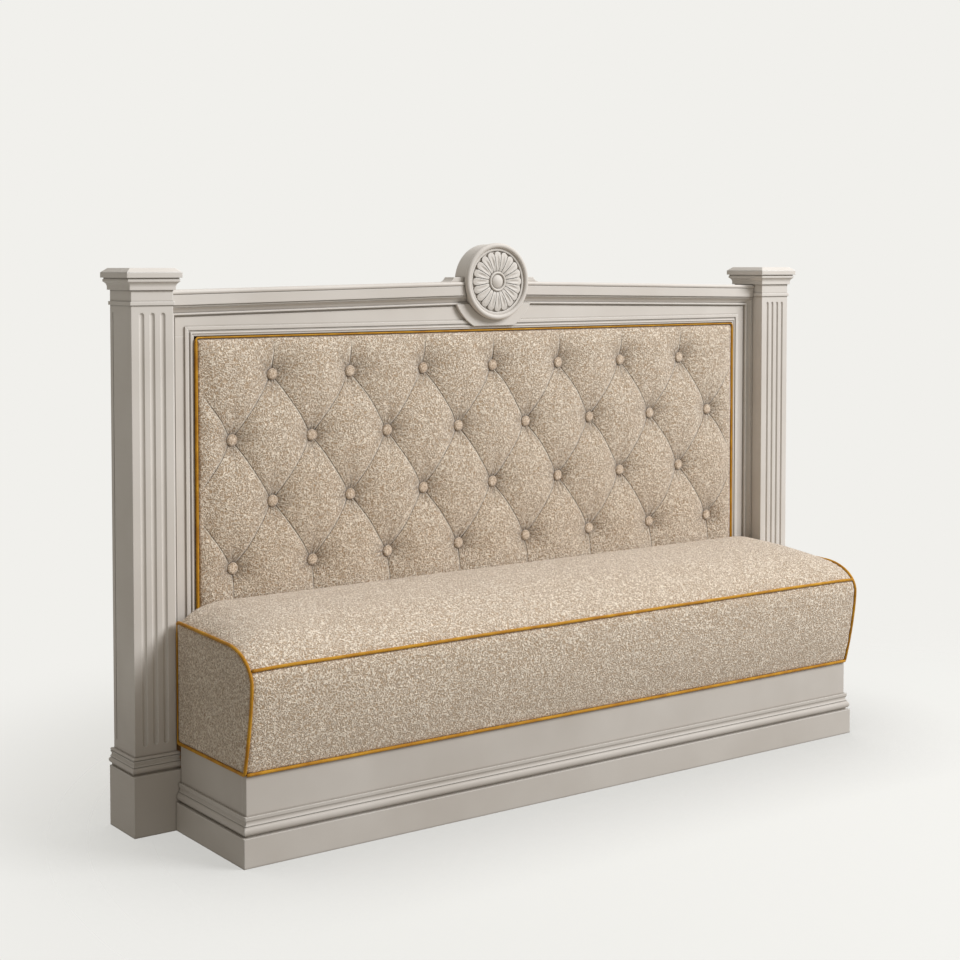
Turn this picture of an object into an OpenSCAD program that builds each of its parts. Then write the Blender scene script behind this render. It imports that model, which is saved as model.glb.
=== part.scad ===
// Upholstered banquette bench with a classical panelled back.
// Millimetres, Z up, floor at Z = 0. The length runs along X and the seat faces -Y.
// Depths named "behind" are measured backwards from the front faces of the two posts.

/* [Posts] */
// Distance between the centre lines of the two posts
post_spacing = 1872; // [1400:4:2600]
// Width of a post shaft
post_w = 98; // [90:1:130]
// Depth of a post shaft
post_d = 107; // [107:1:140]
// Width of the plinth block under a post
post_block_w = 117.5; // [112:0.5:150]
// How far the plinth block stands in front of the shaft
post_block_proj = 15.8; // [10:0.2:20]
// Height of the plinth block
post_block_h = 132.5; // [110:0.5:140]
// Height of the moulding between plinth block and shaft
post_base_mould_h = 37.8; // [32:0.2:44]
// Height of the post up to the top of the capital
post_h = 1223; // [1180:1:1400]

/* [Flutes] */
// Number of flutes in the left post
left_flutes = 3; // [1:1:3]
// Width of a flute in the left post
left_flute_w = 11.5; // [6:0.5:14]
// Distance between flutes in the left post
left_flute_pitch = 24.7; // [18:0.1:28]
// Number of flutes in the right post
right_flutes = 4; // [1:1:4]
// Width of a flute in the right post
right_flute_w = 8; // [5:0.5:12]
// Distance between flutes in the right post
right_flute_pitch = 18.4; // [14:0.1:20]
// Depth of every flute
flute_depth = 3.6; // [2:0.1:3.9]
// Plain shaft left below the flutes
flute_margin_low = 21; // [10:1:60]
// Plain shaft left above the flutes
flute_margin_high = 16; // [8:1:60]

/* [Bench base] */
// How far the base stops short of the inner faces of the posts
base_end_inset = 2.5; // [0:0.5:8]
// How far the base stands back under the front edge of the seat
base_front_inset = 3.5; // [3:0.5:12]
// Height of the base up to the seat
base_h = 188; // [150:1:220]
// Thickness of the base panels and the deck
panel_t = 18; // [12:1:25]
// Height of the plinth board round the foot
plinth_board_h = 62; // [45:1:80]
// Thickness of the plinth board
plinth_board_t = 12; // [10:0.5:14]
// Height of the moulding on the plinth board
base_mould_h = 42; // [36:0.5:48]

/* [Back frame] */
// Width of the stile between a post and the padded back
stile_w = 70.5; // [64:0.5:120]
// Distance from the top of the posts down to the opening for the padded back
opening_drop = 150.3; // [146:0.1:170]
// How far the padded back reaches down behind the seat
pad_tuck = 37; // [20:1:60]
// Face of the frame behind the post fronts
band_behind = 47; // [44:0.5:50]
// Thickness of the stiles
stile_t = 45; // [38:1:50]
// Height of the plain frieze over the opening at the posts
frieze_h = 46.3; // [40:0.1:60]
// Rise of the top rail from the posts to the middle
gable_rise = 16; // [0:1:30]
// Width of the cove moulding under the cornice and down the posts
outer_mould_w = 22; // [18:0.5:26]
// Width of the moulding round the opening
inner_mould_w = 21; // [18:0.5:24]
// Height of the cornice fascia
fascia_h = 22.5; // [16:0.5:30]
// Height of the rounded board on the cornice
cornice_cap_h = 10; // [8:0.5:14]

/* [Medallion] */
// Radius of the rim
medallion_r = 94.4; // [80:0.2:104]
// Height of the medallion's centre over the ridge of the fascia
medallion_rise = 9.2; // [2:0.1:16]
// Depth of the round block behind the rim
drum_d = 48; // [40:1:52]
// Number of petals
petals = 20; // [12:1:24]
// Radius of the raised plate round the medallion
spandrel_r = 125; // [118:1:135]
// Half of the width of the raised shoulders on the cornice
shoulder_half_w = 121; // [112:1:150]
// Height of the raised shoulders
shoulder_h = 12; // [6:1:14]

/* [Padded back] */
// Distance from the outermost buttons to the sides of the pad
button_side_margin = 84.95; // [60:0.05:110]
// Distance from the top row of buttons to the top of the pad
button_top_margin = 83.4; // [70:0.1:100]
// Height of the bottom row of buttons over the seat's ends
button_low_margin = 91.4; // [70:0.1:110]
// Buttons in the top row, with one more in every second row
top_row_buttons = 7; // [3:2:7]
// Height of the puffs over the buttons
puff_h = 38; // [30:1:54]
// Height of the pleats over the buttons, halfway between two of them
pleat_h = 22; // [14:1:28]
// Diameter of a covered button
button_d = 21.5; // [16:0.5:26]
// Thickness of the board behind the pad
pad_board_t = 12; // [9:1:12]
// Thickness of the closing panel on the rear
rear_panel_t = 5; // [3:0.5:6]

/* [Seat] */
// How far the seat overhangs the ends of the base
seat_end_overhang = 5.5; // [4.5:0.5:9]
// Height of the seat's ends at the rear
seat_h = 457; // [430:1:480]
// Drop of the seat's ends from the rear to the front
seat_fall = 7; // [0:1:20]
// How far the seat stands in front of the posts
seat_reach = 348; // [330:1:450]
// Gap between the seat's ends and the posts
seat_rear_gap = 7; // [2:1:12]
// Rise of the crown over the seat's ends
crown_h = 37; // [15:1:45]
// Height of the rounded front corner
front_round_h = 70; // [50:1:90]
// Depth of the rounded front corner
front_round_d = 112; // [80:1:130]
// How far the seat draws in at the bottom of its front
front_draw = 32; // [20:1:33]
// Thickness of the board inside the underside of the seat
seat_board_t = 15; // [9:1:18]

/* [Piping] */
// Diameter of the piping on the seat
seat_piping_d = 7.2; // [5:0.2:9]
// Diameter of the piping round the padded back
back_piping_d = 6.8; // [5:0.2:7.2]

/* [Hidden] */
$fn = 64;

// Sides, as signs along X
left = -1;
right = 1;

// Clearances
soft_gap = 0.3;
joint_gap = 0.3;
overrun = 3;

// Colours
paint = "#d6cfc8";
fabric = "#cdbeaa";
gold = "#bf891a";
timber = "#c8a878";
dark_timber = "#a98f68";
cord_colour = "#e8e2d2";

// Capital, from the shaft upwards
astragal_h = 8;
astragal_proj = 3;
neck_h = 24.5;
bed_fillet_h = 6.5;
bed_fillet_proj = 5;
capital_cove_h = 13;
capital_cove_proj = 12;
capital_fillet_h = 4;
capital_quirk_h = 3;
capital_quirk_in = 1.5;
abacus_h = 11.4;
abacus_proj = 15.6;
cap_h = 9.6;
cap_inset = 12;
capital_h = bed_fillet_h + capital_cove_h + capital_fillet_h + capital_quirk_h + abacus_h;
capital_z = post_h - cap_h - capital_h;
astragal_z = capital_z - neck_h - astragal_h;

// Moulding at the foot of the shaft
post_base_quirk_share = 0.08;
post_base_torus_share = 0.4;
post_base_bead_share = 0.18;
post_base_quirk_h = post_base_mould_h * post_base_quirk_share;
post_base_torus_h = post_base_mould_h * post_base_torus_share;
post_base_bead_h = post_base_mould_h * post_base_bead_share;
post_base_cove_h = post_base_mould_h - post_base_quirk_h - post_base_torus_h - post_base_bead_h;
post_base_quirk_proj = 4;
post_base_torus_proj = 9.3;
post_base_cove_proj = 4.5;
post_base_bead_proj = 6.5;

// Places of the posts
post_x = post_spacing / 2;
post_inner_x = post_x - post_w / 2;
post_block_rear_proj = 2.2;
shaft_z = post_block_h + post_base_mould_h;
total_rear = post_d + abacus_proj;
front_bulge = 3;
total_front = seat_reach + front_bulge;
post_front_y = (total_front - total_rear) / 2;
side_groove_w = 3;
side_groove_depth = 2.4;
side_groove_in = 13;

// Base
base_half_len = post_inner_x - base_end_inset;
base_reach = seat_reach - front_draw - base_front_inset;
base_quirk_share = 0.07;
base_torus_share = 0.48;
base_fillet_share = 0.13;
base_quirk_h = base_mould_h * base_quirk_share;
base_torus_h = base_mould_h * base_torus_share;
base_fillet_h = base_mould_h * base_fillet_share;
base_cove_h = base_mould_h - base_quirk_h - base_torus_h - base_fillet_h;
base_fillet_proj = 6;
base_cove_proj = 3.5;
base_quirk_proj = 3;
base_torus_setback = 1;
base_torus_proj = plinth_board_t - base_torus_setback;
divider_share = 0.33;

// Back frame
opening_half_w = post_inner_x - stile_w;
opening_top = post_h - opening_drop;
opening_bottom = seat_h - pad_tuck;
lower_rail_bottom = shaft_z;
rail_foot_share = 0.6;
rail_foot_bottom = post_block_h * rail_foot_share;
rail_foot_half_w = post_x - post_block_w / 2 - soft_gap;
gable_angle = atan(gable_rise / post_inner_x);
frieze_top = opening_top + frieze_h;
cove_top = frieze_top + outer_mould_w / cos(gable_angle);
fascia_top = cove_top + fascia_h / cos(gable_angle);
outer_proud = 12;
outer_lip_w = 4;
outer_lip_proud = 6;
outer_fillet_w = 4.5;
outer_cove_drop = 1.5;
outer_cove_offset = 2;
groove_w = 5;
groove_depth = 2;
fascia_proud = 16;
cap_proud = 18;
inner_fillet_w = 8;
inner_fillet_proud = 4;
inner_quirk_w = 4;
inner_quirk_proud = 1.5;
inner_bead_w = 5;
inner_bead_proud = 5;
inner_lip_proud = 3;
plate_proud = 10;
plate_drop = 7;
rear_panel_front = post_d - rear_panel_t;
stile_rear = band_behind + stile_t;
batten_w = 50;
batten_overlap = 22;

// Medallion
rim_overhang = 2.9;
medallion_z = fascia_top + gable_rise + medallion_rise;
drum_r = medallion_r - rim_overhang;
drum_front = 28;
drum_rear = drum_front + drum_d;
rim_tube_r = 6.2;
rim_base_h = 4;
rim_step_w = 6.5;
rosette_r_share = 0.78;
petal_gap = 1.4;
petal_crown_h = 8;
petal_edge_h = 4;
petal_groove_r = 5;
petal_groove_depth = 1.8;
boss_r = 16.5;
boss_ring_r = 24.5;
boss_ring_tube_r = 3;
boss_base_h = 5;
boss_floor_h = 4;
boss_dome_h = 10;
shoulder_ramp_r = 24;
shoulder_seat = 1;
shoulder_setback = 2;

// Padded back
pad_board_front = stile_rear - pad_board_t;
button_rows = 4;
button_seat_behind = 58;
pad_edge_behind = 39;
pad_half_w = opening_half_w - back_piping_d - 2 * soft_gap;
pad_top = opening_top - back_piping_d - 2 * soft_gap;
pad_bottom = opening_bottom + soft_gap;
pad_rear = pad_board_front - soft_gap;
button_pitch = 2 * (pad_half_w - button_side_margin) / top_row_buttons;
top_row_z = pad_top - button_top_margin;
row_pitch = (top_row_z - seat_h - button_low_margin) / (button_rows - 1);
edge_roll = 62;
pleat_power = 0.62;
puff_power = 0.5;
edge_power = 2.4;
lattice_cells = 4;
lattice_x = button_pitch / 2 / lattice_cells;
lattice_z = row_pitch / lattice_cells;
edge_cell_min = 6;
button_rim_h = 2;
button_dome_h = 5;
tie_d = 3;
tie_hole_d = 6;
washer_d = 18;
washer_t = 2;

// Seat
seat_half_len = base_half_len + seat_end_overhang;
seat_bottom = base_h + soft_gap;
seat_rear = -seat_rear_gap;
rear_bulge = 12;
rear_round_r = 10;
foot_chamfer = 8;
welt_chamfer = 9;
welt_sink = 1.74;
notch_w = 6;
notch_depth = 3.5;
foot_welt_drop = 2;
end_roll = 120;
end_puff = 3;
end_puff_share = 0.6;
crown_power = 2.2;
crown_reach_power = 1.6;
rear_rise_power = 2;
draw_power = 1.5;
station_power = 1.4;
front_welt_angle = 156;
seat_board_margin = 30;
ring_sides = 8;
corner_steps = 3;
top_steps = 7;
round_steps = 5;
front_steps = 6;
roll_steps = 6;
long_steps = 8;

// Straight runs of a section

module along_x() rotate([90, 0, 90]) linear_extrude(height = 2 * post_spacing, center = true) children();

module along_y() rotate([90, 0, 0]) linear_extrude(height = 2 * post_spacing, center = true) children();

// Geometry drawn for the left side, turned over for the right
module on_side(side) mirror([side == right ? 1 : 0, 0, 0]) children();

module behind_posts(depth) translate([0, post_front_y + depth, 0]) children();

// A flat outline in X and Z, from one depth behind the post fronts to another
module slab(from, to) translate([0, post_front_y + to, 0]) rotate([90, 0, 0])
    linear_extrude(height = to - from) children();

module board(x0, x1, from, to, z0, z1) translate([x0, post_front_y + from, z0])
    cube([x1 - x0, to - from, z1 - z0]);

// Height of the sloping lines of the gabled top, over their height at the posts
function gable(x) = gable_rise * (1 - abs(x) / post_inner_x);

// Posts

// One member of a post moulding, as wide as the post and its projection
module member(half, proj, z, h) translate([-half - proj, z]) square([2 * (half + proj), h]);

module member_torus(half, proj, z, h) {
    inner = proj - h / 2;
    member(half, inner, z, h);
    for (s = [left, right]) translate([s * (half + inner), z + h / 2]) circle(d = h);
}

// A member hollowed by a cove that starts upright and leans out
module member_cove(half, proj, foot_proj, z, h) difference() {
    member(half, proj, z, h);
    for (s = [left, right]) translate([s * (half + foot_proj + h), z]) circle(r = h);
}

// A member hollowed by a cove that sits halfway up it
module member_scotia(half, proj, throat_proj, z, h) difference() {
    member(half, proj, z, h);
    for (s = [left, right]) translate([s * (half + throat_proj + h / 2), z + h / 2]) circle(d = h);
}

module post_base_outline(half) {
    torus_z = post_base_quirk_h;
    cove_z = torus_z + post_base_torus_h;
    bead_z = cove_z + post_base_cove_h;
    member(half, post_base_quirk_proj, 0, post_base_quirk_h);
    member_torus(half, post_base_torus_proj, torus_z, post_base_torus_h);
    member_scotia(half, post_base_bead_proj, post_base_cove_proj, cove_z, post_base_cove_h);
    member_torus(half, post_base_bead_proj, bead_z, post_base_bead_h);
}

module capital_outline(half) {
    cove_z = bed_fillet_h;
    fillet_z = cove_z + capital_cove_h;
    quirk_z = fillet_z + capital_fillet_h;
    abacus_z = quirk_z + capital_quirk_h;
    member(half, bed_fillet_proj, 0, bed_fillet_h);
    member_cove(half, capital_cove_proj, bed_fillet_proj, cove_z, capital_cove_h);
    member(half, capital_cove_proj, fillet_z, capital_fillet_h);
    member(half, capital_cove_proj - capital_quirk_in, quirk_z, capital_quirk_h);
    member(half, abacus_proj, abacus_z, abacus_h);
}

module cap_outline(half) {
    foot = half + abacus_proj;
    polygon([[-foot, 0], [foot, 0], [foot - cap_inset, cap_h], [-foot + cap_inset, cap_h]]);
}

module at_post(side, z = 0) translate([side * post_x, post_front_y + post_d / 2, z]) children();

module post_block(side) color(paint) translate([
        side * post_x - post_block_w / 2, post_front_y - post_block_proj, 0
    ]) cube([post_block_w, post_block_proj + post_d + post_block_rear_proj, post_block_h]);

module post_base(side) color(paint) at_post(side, post_block_h) intersection() {
    along_y() post_base_outline(post_w / 2);
    along_x() post_base_outline(post_d / 2);
}

module post_capital(side) color(paint) at_post(side, capital_z) intersection() {
    along_y() capital_outline(post_w / 2);
    along_x() capital_outline(post_d / 2);
}

module post_cap(side) color(paint) at_post(side, capital_z + capital_h) intersection() {
    along_y() cap_outline(post_w / 2);
    along_x() cap_outline(post_d / 2);
}

// A round-ended groove of the given width, cut flute_depth deep
module flute(w, z0, z1) {
    r = (w * w / 4 + flute_depth * flute_depth) / (2 * flute_depth);
    translate([0, flute_depth - r, z0 + w / 2]) {
        cylinder(r = r, h = z1 - z0 - w);
        sphere(r = r);
        translate([0, 0, z1 - z0 - w]) sphere(r = r);
    }
}

module post_shaft(side, count, w, pitch) color(paint) at_post(side) {
    z0 = shaft_z + flute_margin_low;
    z1 = astragal_z - flute_margin_high;
    difference() {
        translate([-post_w / 2, -post_d / 2, shaft_z]) cube([post_w, post_d, capital_z - shaft_z]);
        for (i = [0 : count - 1])
            translate([(i - (count - 1) / 2) * pitch, -post_d / 2, 0]) flute(w, z0, z1);
        if (side == left) translate([
                -post_w / 2 - overrun, post_d / 2 - side_groove_in - side_groove_w, z0
            ]) cube([side_groove_depth + overrun, side_groove_w, z1 - z0]);
    }
    translate([-post_w / 2 - astragal_proj, -post_d / 2 - astragal_proj, astragal_z])
        cube([post_w + 2 * astragal_proj, post_d + 2 * astragal_proj, astragal_h]);
}

// Base

base_front = -base_reach;
base_rear = -post_block_proj;
divider_x = base_half_len * divider_share;

module base_front_panel() color(paint)
    board(-base_half_len, base_half_len, base_front, base_front + panel_t, 0, base_h);

module base_side_panel(side) color(paint) on_side(side)
    board(-base_half_len, panel_t - base_half_len, base_front + panel_t, base_rear, 0, base_h);

module base_rear_panel() color(dark_timber) board(
    panel_t - base_half_len, base_half_len - panel_t, base_rear - panel_t, base_rear, 0, base_h - panel_t);

module base_deck() color(timber) board(
    panel_t - base_half_len, base_half_len - panel_t, base_front + panel_t, band_behind,
    base_h - panel_t, base_h);

module base_divider(side) color(dark_timber) translate([side * divider_x, 0, 0]) board(
    -panel_t / 2, panel_t / 2, base_front + panel_t, base_rear - panel_t, 0, base_h - panel_t);

// Plan of a board that runs round the front of the base, mitred at the corner
module front_run_plan(t) {
    outer = base_half_len + t;
    translate([0, post_front_y]) polygon([
        [-outer, base_front - t], [outer, base_front - t],
        [base_half_len, base_front], [-base_half_len, base_front]
    ]);
}

module left_run_plan(t) {
    outer = base_half_len + t;
    translate([0, post_front_y]) polygon([
        [-outer, base_front - t], [-base_half_len, base_front],
        [-base_half_len, base_rear], [-outer, base_rear]
    ]);
}

module plinth_board_front() color(paint)
    linear_extrude(height = plinth_board_h) front_run_plan(plinth_board_t);

module plinth_board_side(side) color(paint) on_side(side)
    linear_extrude(height = plinth_board_h) left_run_plan(plinth_board_t);

// Outline of the base moulding on a body of the given half width
module base_mould_outline(half) translate([0, plinth_board_h]) {
    torus_z = base_quirk_h;
    cove_z = torus_z + base_torus_h;
    fillet_z = cove_z + base_cove_h;
    member(half, base_quirk_proj, 0, base_quirk_h);
    member_torus(half, base_torus_proj, torus_z, base_torus_h);
    member_scotia(half, base_fillet_proj, base_cove_proj, cove_z, base_cove_h);
    member(half, base_fillet_proj, fillet_z, base_fillet_h);
}

module base_moulding_front() color(paint) intersection() {
    translate([0, post_front_y, 0]) along_x() base_mould_outline(base_reach);
    linear_extrude(height = base_h) front_run_plan(plinth_board_t);
}

module base_moulding_side(side) color(paint) on_side(side) intersection() {
    along_y() base_mould_outline(base_half_len);
    linear_extrude(height = base_h) left_run_plan(plinth_board_t);
}

// Back frame

// Cuts the medallion's seat, as deep as the drum
module medallion_seat() slab(-base_reach, drum_rear + joint_gap)
    translate([0, medallion_z]) circle(r = drum_r + joint_gap, $fn = 96);

// Outline of a band under the gable: its two edges lie at given heights at the posts
module gabled_band(z0, z1, half, flat_foot = false) {
    foot = flat_foot ? 0 : 1;
    polygon([
        [-half, z0 + foot * gable(half)], [0, z0 + foot * gable(0)], [half, z0 + foot * gable(half)],
        [half, z1 + gable(half)], [0, z1 + gable(0)], [-half, z1 + gable(half)]
    ]);
}

// Between the plinth blocks the rail reaches lower, so nothing is seen past the ends of the base
module lower_rail() color(timber) slab(band_behind, rear_panel_front) polygon([
    [-post_inner_x, opening_bottom], [-post_inner_x, lower_rail_bottom],
    [-rail_foot_half_w, lower_rail_bottom], [-rail_foot_half_w, rail_foot_bottom],
    [rail_foot_half_w, rail_foot_bottom], [rail_foot_half_w, lower_rail_bottom],
    [post_inner_x, lower_rail_bottom], [post_inner_x, opening_bottom]
]);

module top_rail() color(paint) difference() {
    slab(band_behind, rear_panel_front)
        gabled_band(opening_top, fascia_top, post_inner_x, flat_foot = true);
    slab(band_behind - overrun, band_behind + groove_depth)
        gabled_band(frieze_top - groove_w, frieze_top, post_inner_x - outer_mould_w);
    for (s = [left, right]) on_side(s) stile_groove(opening_top - overrun, frieze_top - groove_w / 2);
    medallion_seat();
}

// Fine groove beside the cove moulding, on the left
module stile_groove(z0, z1) board(
    outer_mould_w - post_inner_x, outer_mould_w + groove_w - post_inner_x,
    band_behind - overrun, band_behind + groove_depth, z0, z1);

module stile(side) color(paint) on_side(side) difference() {
    board(-post_inner_x, -opening_half_w, band_behind, stile_rear, opening_bottom, opening_top);
    stile_groove(opening_bottom - overrun, opening_top + overrun);
}

// Section of the cove moulding: X inwards from its outer edge, Y proud of the frame's face
module outer_mould_section() {
    lip_x = outer_mould_w - outer_lip_w;
    square([outer_fillet_w, outer_proud]);
    translate([lip_x, 0]) square([outer_lip_w, outer_lip_proud]);
    difference() {
        square([lip_x, outer_proud - outer_cove_drop]);
        translate([lip_x + outer_cove_offset / 2, outer_proud + outer_cove_offset])
            circle(r = lip_x - outer_fillet_w);
    }
}

// Section of the moulding round the opening, measured the same way
module inner_mould_section() {
    bead_x = inner_fillet_w + inner_quirk_w;
    square([inner_fillet_w, inner_fillet_proud]);
    square([bead_x, inner_quirk_proud]);
    translate([bead_x, 0]) square([inner_bead_w, inner_bead_proud - inner_bead_w / 2]);
    translate([bead_x + inner_bead_w / 2, inner_bead_proud - inner_bead_w / 2]) circle(d = inner_bead_w);
    translate([bead_x, 0]) square([inner_mould_w - bead_x, inner_lip_proud]);
}

// A level run of moulding under the given height
module level_run(z) translate([0, post_front_y + band_behind, z]) mirror([0, 1, 0]) rotate([0, 90, 0])
    linear_extrude(height = 2 * post_inner_x, center = true) children();

// A run that climbs to the right from the inner face of the left post
module climbing_run(z) translate([-post_inner_x, post_front_y + band_behind, z])
    rotate([0, -gable_angle, 0]) mirror([0, 1, 0]) rotate([0, 90, 0])
    translate([0, 0, -outer_mould_w]) linear_extrude(height = post_spacing) children();

module mould_prism() slab(band_behind - cap_proud, band_behind) children();

outer_mitre_x = outer_mould_w - post_inner_x;
outer_mitre_z = frieze_top + gable(outer_mitre_x);

module outer_moulding_side(side) color(paint) on_side(side) intersection() {
    translate([-post_inner_x, post_front_y + band_behind, opening_bottom]) mirror([0, 1, 0])
        linear_extrude(height = cove_top - opening_bottom) outer_mould_section();
    mould_prism() polygon([
        [-post_inner_x, opening_bottom], [outer_mitre_x, opening_bottom],
        [outer_mitre_x, outer_mitre_z], [-post_inner_x, cove_top]
    ]);
}

module outer_moulding_top(side) color(paint) on_side(side) difference() {
    intersection() {
        climbing_run(cove_top) outer_mould_section();
        mould_prism() polygon([
            [-post_inner_x, cove_top], [outer_mitre_x, outer_mitre_z],
            [0, frieze_top + gable_rise], [0, cove_top + gable_rise]
        ]);
    }
    medallion_seat();
}

inner_mitre_x = -opening_half_w - inner_mould_w;
inner_mitre_z = opening_top + inner_mould_w;

module inner_moulding_side(side) color(paint) on_side(side) intersection() {
    translate([inner_mitre_x, post_front_y + band_behind, opening_bottom]) mirror([0, 1, 0])
        linear_extrude(height = inner_mitre_z - opening_bottom) inner_mould_section();
    mould_prism() polygon([
        [inner_mitre_x, opening_bottom], [-opening_half_w, opening_bottom],
        [-opening_half_w, opening_top], [inner_mitre_x, inner_mitre_z]
    ]);
}

module inner_moulding_top() color(paint) difference() {
    intersection() {
        level_run(inner_mitre_z) inner_mould_section();
        mould_prism() polygon([
            [inner_mitre_x, inner_mitre_z], [-opening_half_w, opening_top],
            [opening_half_w, opening_top], [-inner_mitre_x, inner_mitre_z]
        ]);
    }
    spandrel_solid();
}

// Section of the cornice: X forwards from the frame's face, Y up from the cove moulding
module cornice_section() {
    back = post_d - band_behind;
    nose_r = cornice_cap_h / 2;
    square([fascia_proud, fascia_h]);
    translate([-back, fascia_h]) square([back + cap_proud - nose_r, cornice_cap_h]);
    translate([cap_proud - nose_r, fascia_h + nose_r]) circle(r = nose_r);
}

module cornice_run() intersection() {
    translate([-post_inner_x, post_front_y + band_behind, cove_top]) rotate([0, -gable_angle, 0])
        mirror([0, 1, 0]) rotate([90, 0, 90])
        translate([0, 0, -outer_mould_w]) linear_extrude(height = post_spacing) cornice_section();
    board(-post_inner_x, 0, -post_d, 2 * post_d, cove_top - overrun, post_h);
}

// Raised step of the cornice beside the medallion, swept down in a cove at its end
module shoulder() {
    foot_z = fascia_top + gable(shoulder_half_w) + cornice_cap_h - shoulder_seat;
    step_h = shoulder_seat + shoulder_h;
    sweep = sqrt(pow(shoulder_ramp_r, 2) - pow(shoulder_ramp_r - step_h, 2));
    slab(band_behind - cap_proud + cornice_cap_h / 2 + shoulder_setback, drum_rear) difference() {
        translate([-shoulder_half_w - sweep, foot_z]) square([shoulder_half_w + sweep, step_h]);
        translate([-shoulder_half_w - sweep, foot_z + shoulder_ramp_r]) circle(r = shoulder_ramp_r);
    }
}

module cornice(side) color(paint) on_side(side) difference() {
    union() {
        cornice_run();
        shoulder();
    }
    medallion_seat();
}

module spandrel_solid() difference() {
    slab(band_behind - plate_proud, band_behind) intersection() {
        translate([0, medallion_z]) circle(r = spandrel_r, $fn = 96);
        gabled_band(opening_top + plate_drop, frieze_top, spandrel_r, flat_foot = true);
    }
    medallion_seat();
}

module spandrel_plate() color(paint) spandrel_solid();

// Medallion: everything is turned round its own axis and then laid against the frame
module on_drum_face() translate([0, post_front_y + drum_front, medallion_z]) rotate([90, 0, 0]) children();

module medallion_drum() color(paint) on_drum_face() translate([0, 0, -drum_d])
    cylinder(r = drum_r, h = drum_d, $fn = 96);

module medallion_rim() color(paint) on_drum_face() rotate_extrude($fn = 96) {
    tube_x = medallion_r - rim_tube_r;
    translate([tube_x - rim_tube_r - rim_step_w, 0])
        square([rim_step_w + 2 * rim_tube_r, rim_base_h]);
    intersection() {
        translate([tube_x, rim_base_h]) circle(r = rim_tube_r);
        square([medallion_r, 2 * rim_tube_r]);
    }
}

rosette_r = medallion_r * rosette_r_share;
petal_root = boss_ring_r + joint_gap;
petal_angle = 360 / petals;

// Flat outline of one petal, narrow at the boss and round at its tip
module petal_outline() {
    tip_r = (rosette_r * sin(petal_angle / 2) - petal_gap / 2) / (1 + sin(petal_angle / 2));
    tip_x = rosette_r - tip_r;
    root_half = petal_root * tan(petal_angle / 2) - petal_gap / 2;
    translate([tip_x, 0]) circle(r = tip_r, $fn = 32);
    polygon([[petal_root, -root_half], [tip_x, -tip_r], [tip_x, tip_r], [petal_root, root_half]]);
}

// Body of revolution that domes all petals at once
module petal_crown() rotate_extrude($fn = 96) {
    half_span = (rosette_r - petal_root) / 2;
    drop = petal_crown_h - petal_edge_h;
    arc_r = (half_span * half_span + drop * drop) / (2 * drop);
    intersection() {
        translate([petal_root, 0]) square([rosette_r - petal_root, petal_crown_h]);
        translate([petal_root + half_span, petal_crown_h - arc_r]) circle(r = arc_r, $fn = 180);
    }
}

module rosette_petals() color(paint) on_drum_face() difference() {
    intersection() {
        petal_crown();
        for (i = [0 : petals - 1]) rotate(i * petal_angle)
            linear_extrude(height = petal_crown_h + overrun) petal_outline();
    }
    for (i = [0 : petals - 1]) rotate(i * petal_angle)
        translate([petal_root - overrun, 0, petal_crown_h + petal_groove_r - petal_groove_depth])
            rotate([0, 90, 0]) cylinder(r = petal_groove_r, h = rosette_r, $fn = 32);
}

module rosette_boss() color(paint) on_drum_face() rotate_extrude($fn = 64) {
    dome_rise = boss_dome_h - boss_base_h;
    dome_r = (boss_r * boss_r + dome_rise * dome_rise) / (2 * dome_rise);
    square([boss_ring_r, boss_floor_h]);
    translate([boss_ring_r - boss_ring_tube_r, boss_base_h]) circle(r = boss_ring_tube_r);
    intersection() {
        translate([0, boss_dome_h - dome_r]) circle(r = dome_r, $fn = 120);
        square([boss_r, boss_dome_h]);
    }
}

// Padded back

row_z = [for (r = [0 : button_rows - 1]) top_row_z - r * row_pitch];

// Rows hold an odd and an even number of buttons by turns
function row_count(r) = top_row_buttons + r % 2;
function row_x(r) = [for (i = [0 : row_count(r) - 1]) (i - (row_count(r) - 1) / 2) * button_pitch];

// Strength of the pleat across and along at a point, zero on a pleat line
function dome(v) = abs(sin(180 * v));

// Height of the stuffed surface over the button seats, before the edges are rolled down
function tuft_h(x, z) =
    let (
        a = x / (button_pitch / 2),
        b = (z - top_row_z) / row_pitch,
        over = b > 0,
        under = b < 1 - button_rows,
        shift = under ? (button_rows - 1) % 2 : 0,
        upright = dome((a - shift) / 2),
        away = over ? b : 1 - button_rows - b,
        climb = sin(90 * min(1, away * 2)),
        p = over || under ? max(upright, climb) : dome((a + b) / 2),
        q = over || under ? max(upright, climb) : dome((a - b) / 2),
        swell = over || under ? upright * upright : p * q
    )
    pleat_h * pow(max(p, q), pleat_power) + (puff_h - pleat_h) * pow(swell, puff_power);

// Depth of the pad's face behind the post fronts
function pad_face(x, z) =
    let (
        edge = min(pad_half_w - abs(x), pad_top - z, z - pad_bottom),
        roll = 1 - pow(1 - min(1, max(0, edge) / edge_roll), edge_power),
        edge_h = button_seat_behind - pad_edge_behind
    )
    button_seat_behind - edge_h - (tuft_h(x, z) - edge_h) * roll;

// Lattice lines, so that each button lies on a crossing
columns_half = floor((pad_half_w - edge_cell_min) / lattice_x);
pad_xs = concat([-pad_half_w], [for (i = [-columns_half : columns_half]) i * lattice_x], [pad_half_w]);
rows_over = floor((pad_top - edge_cell_min - top_row_z) / lattice_z);
rows_under = (button_rows - 1) * lattice_cells + 2;
pad_zs = concat(
    [pad_bottom], [for (i = [-rows_under : rows_over]) top_row_z + i * lattice_z], [pad_top]);

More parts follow.
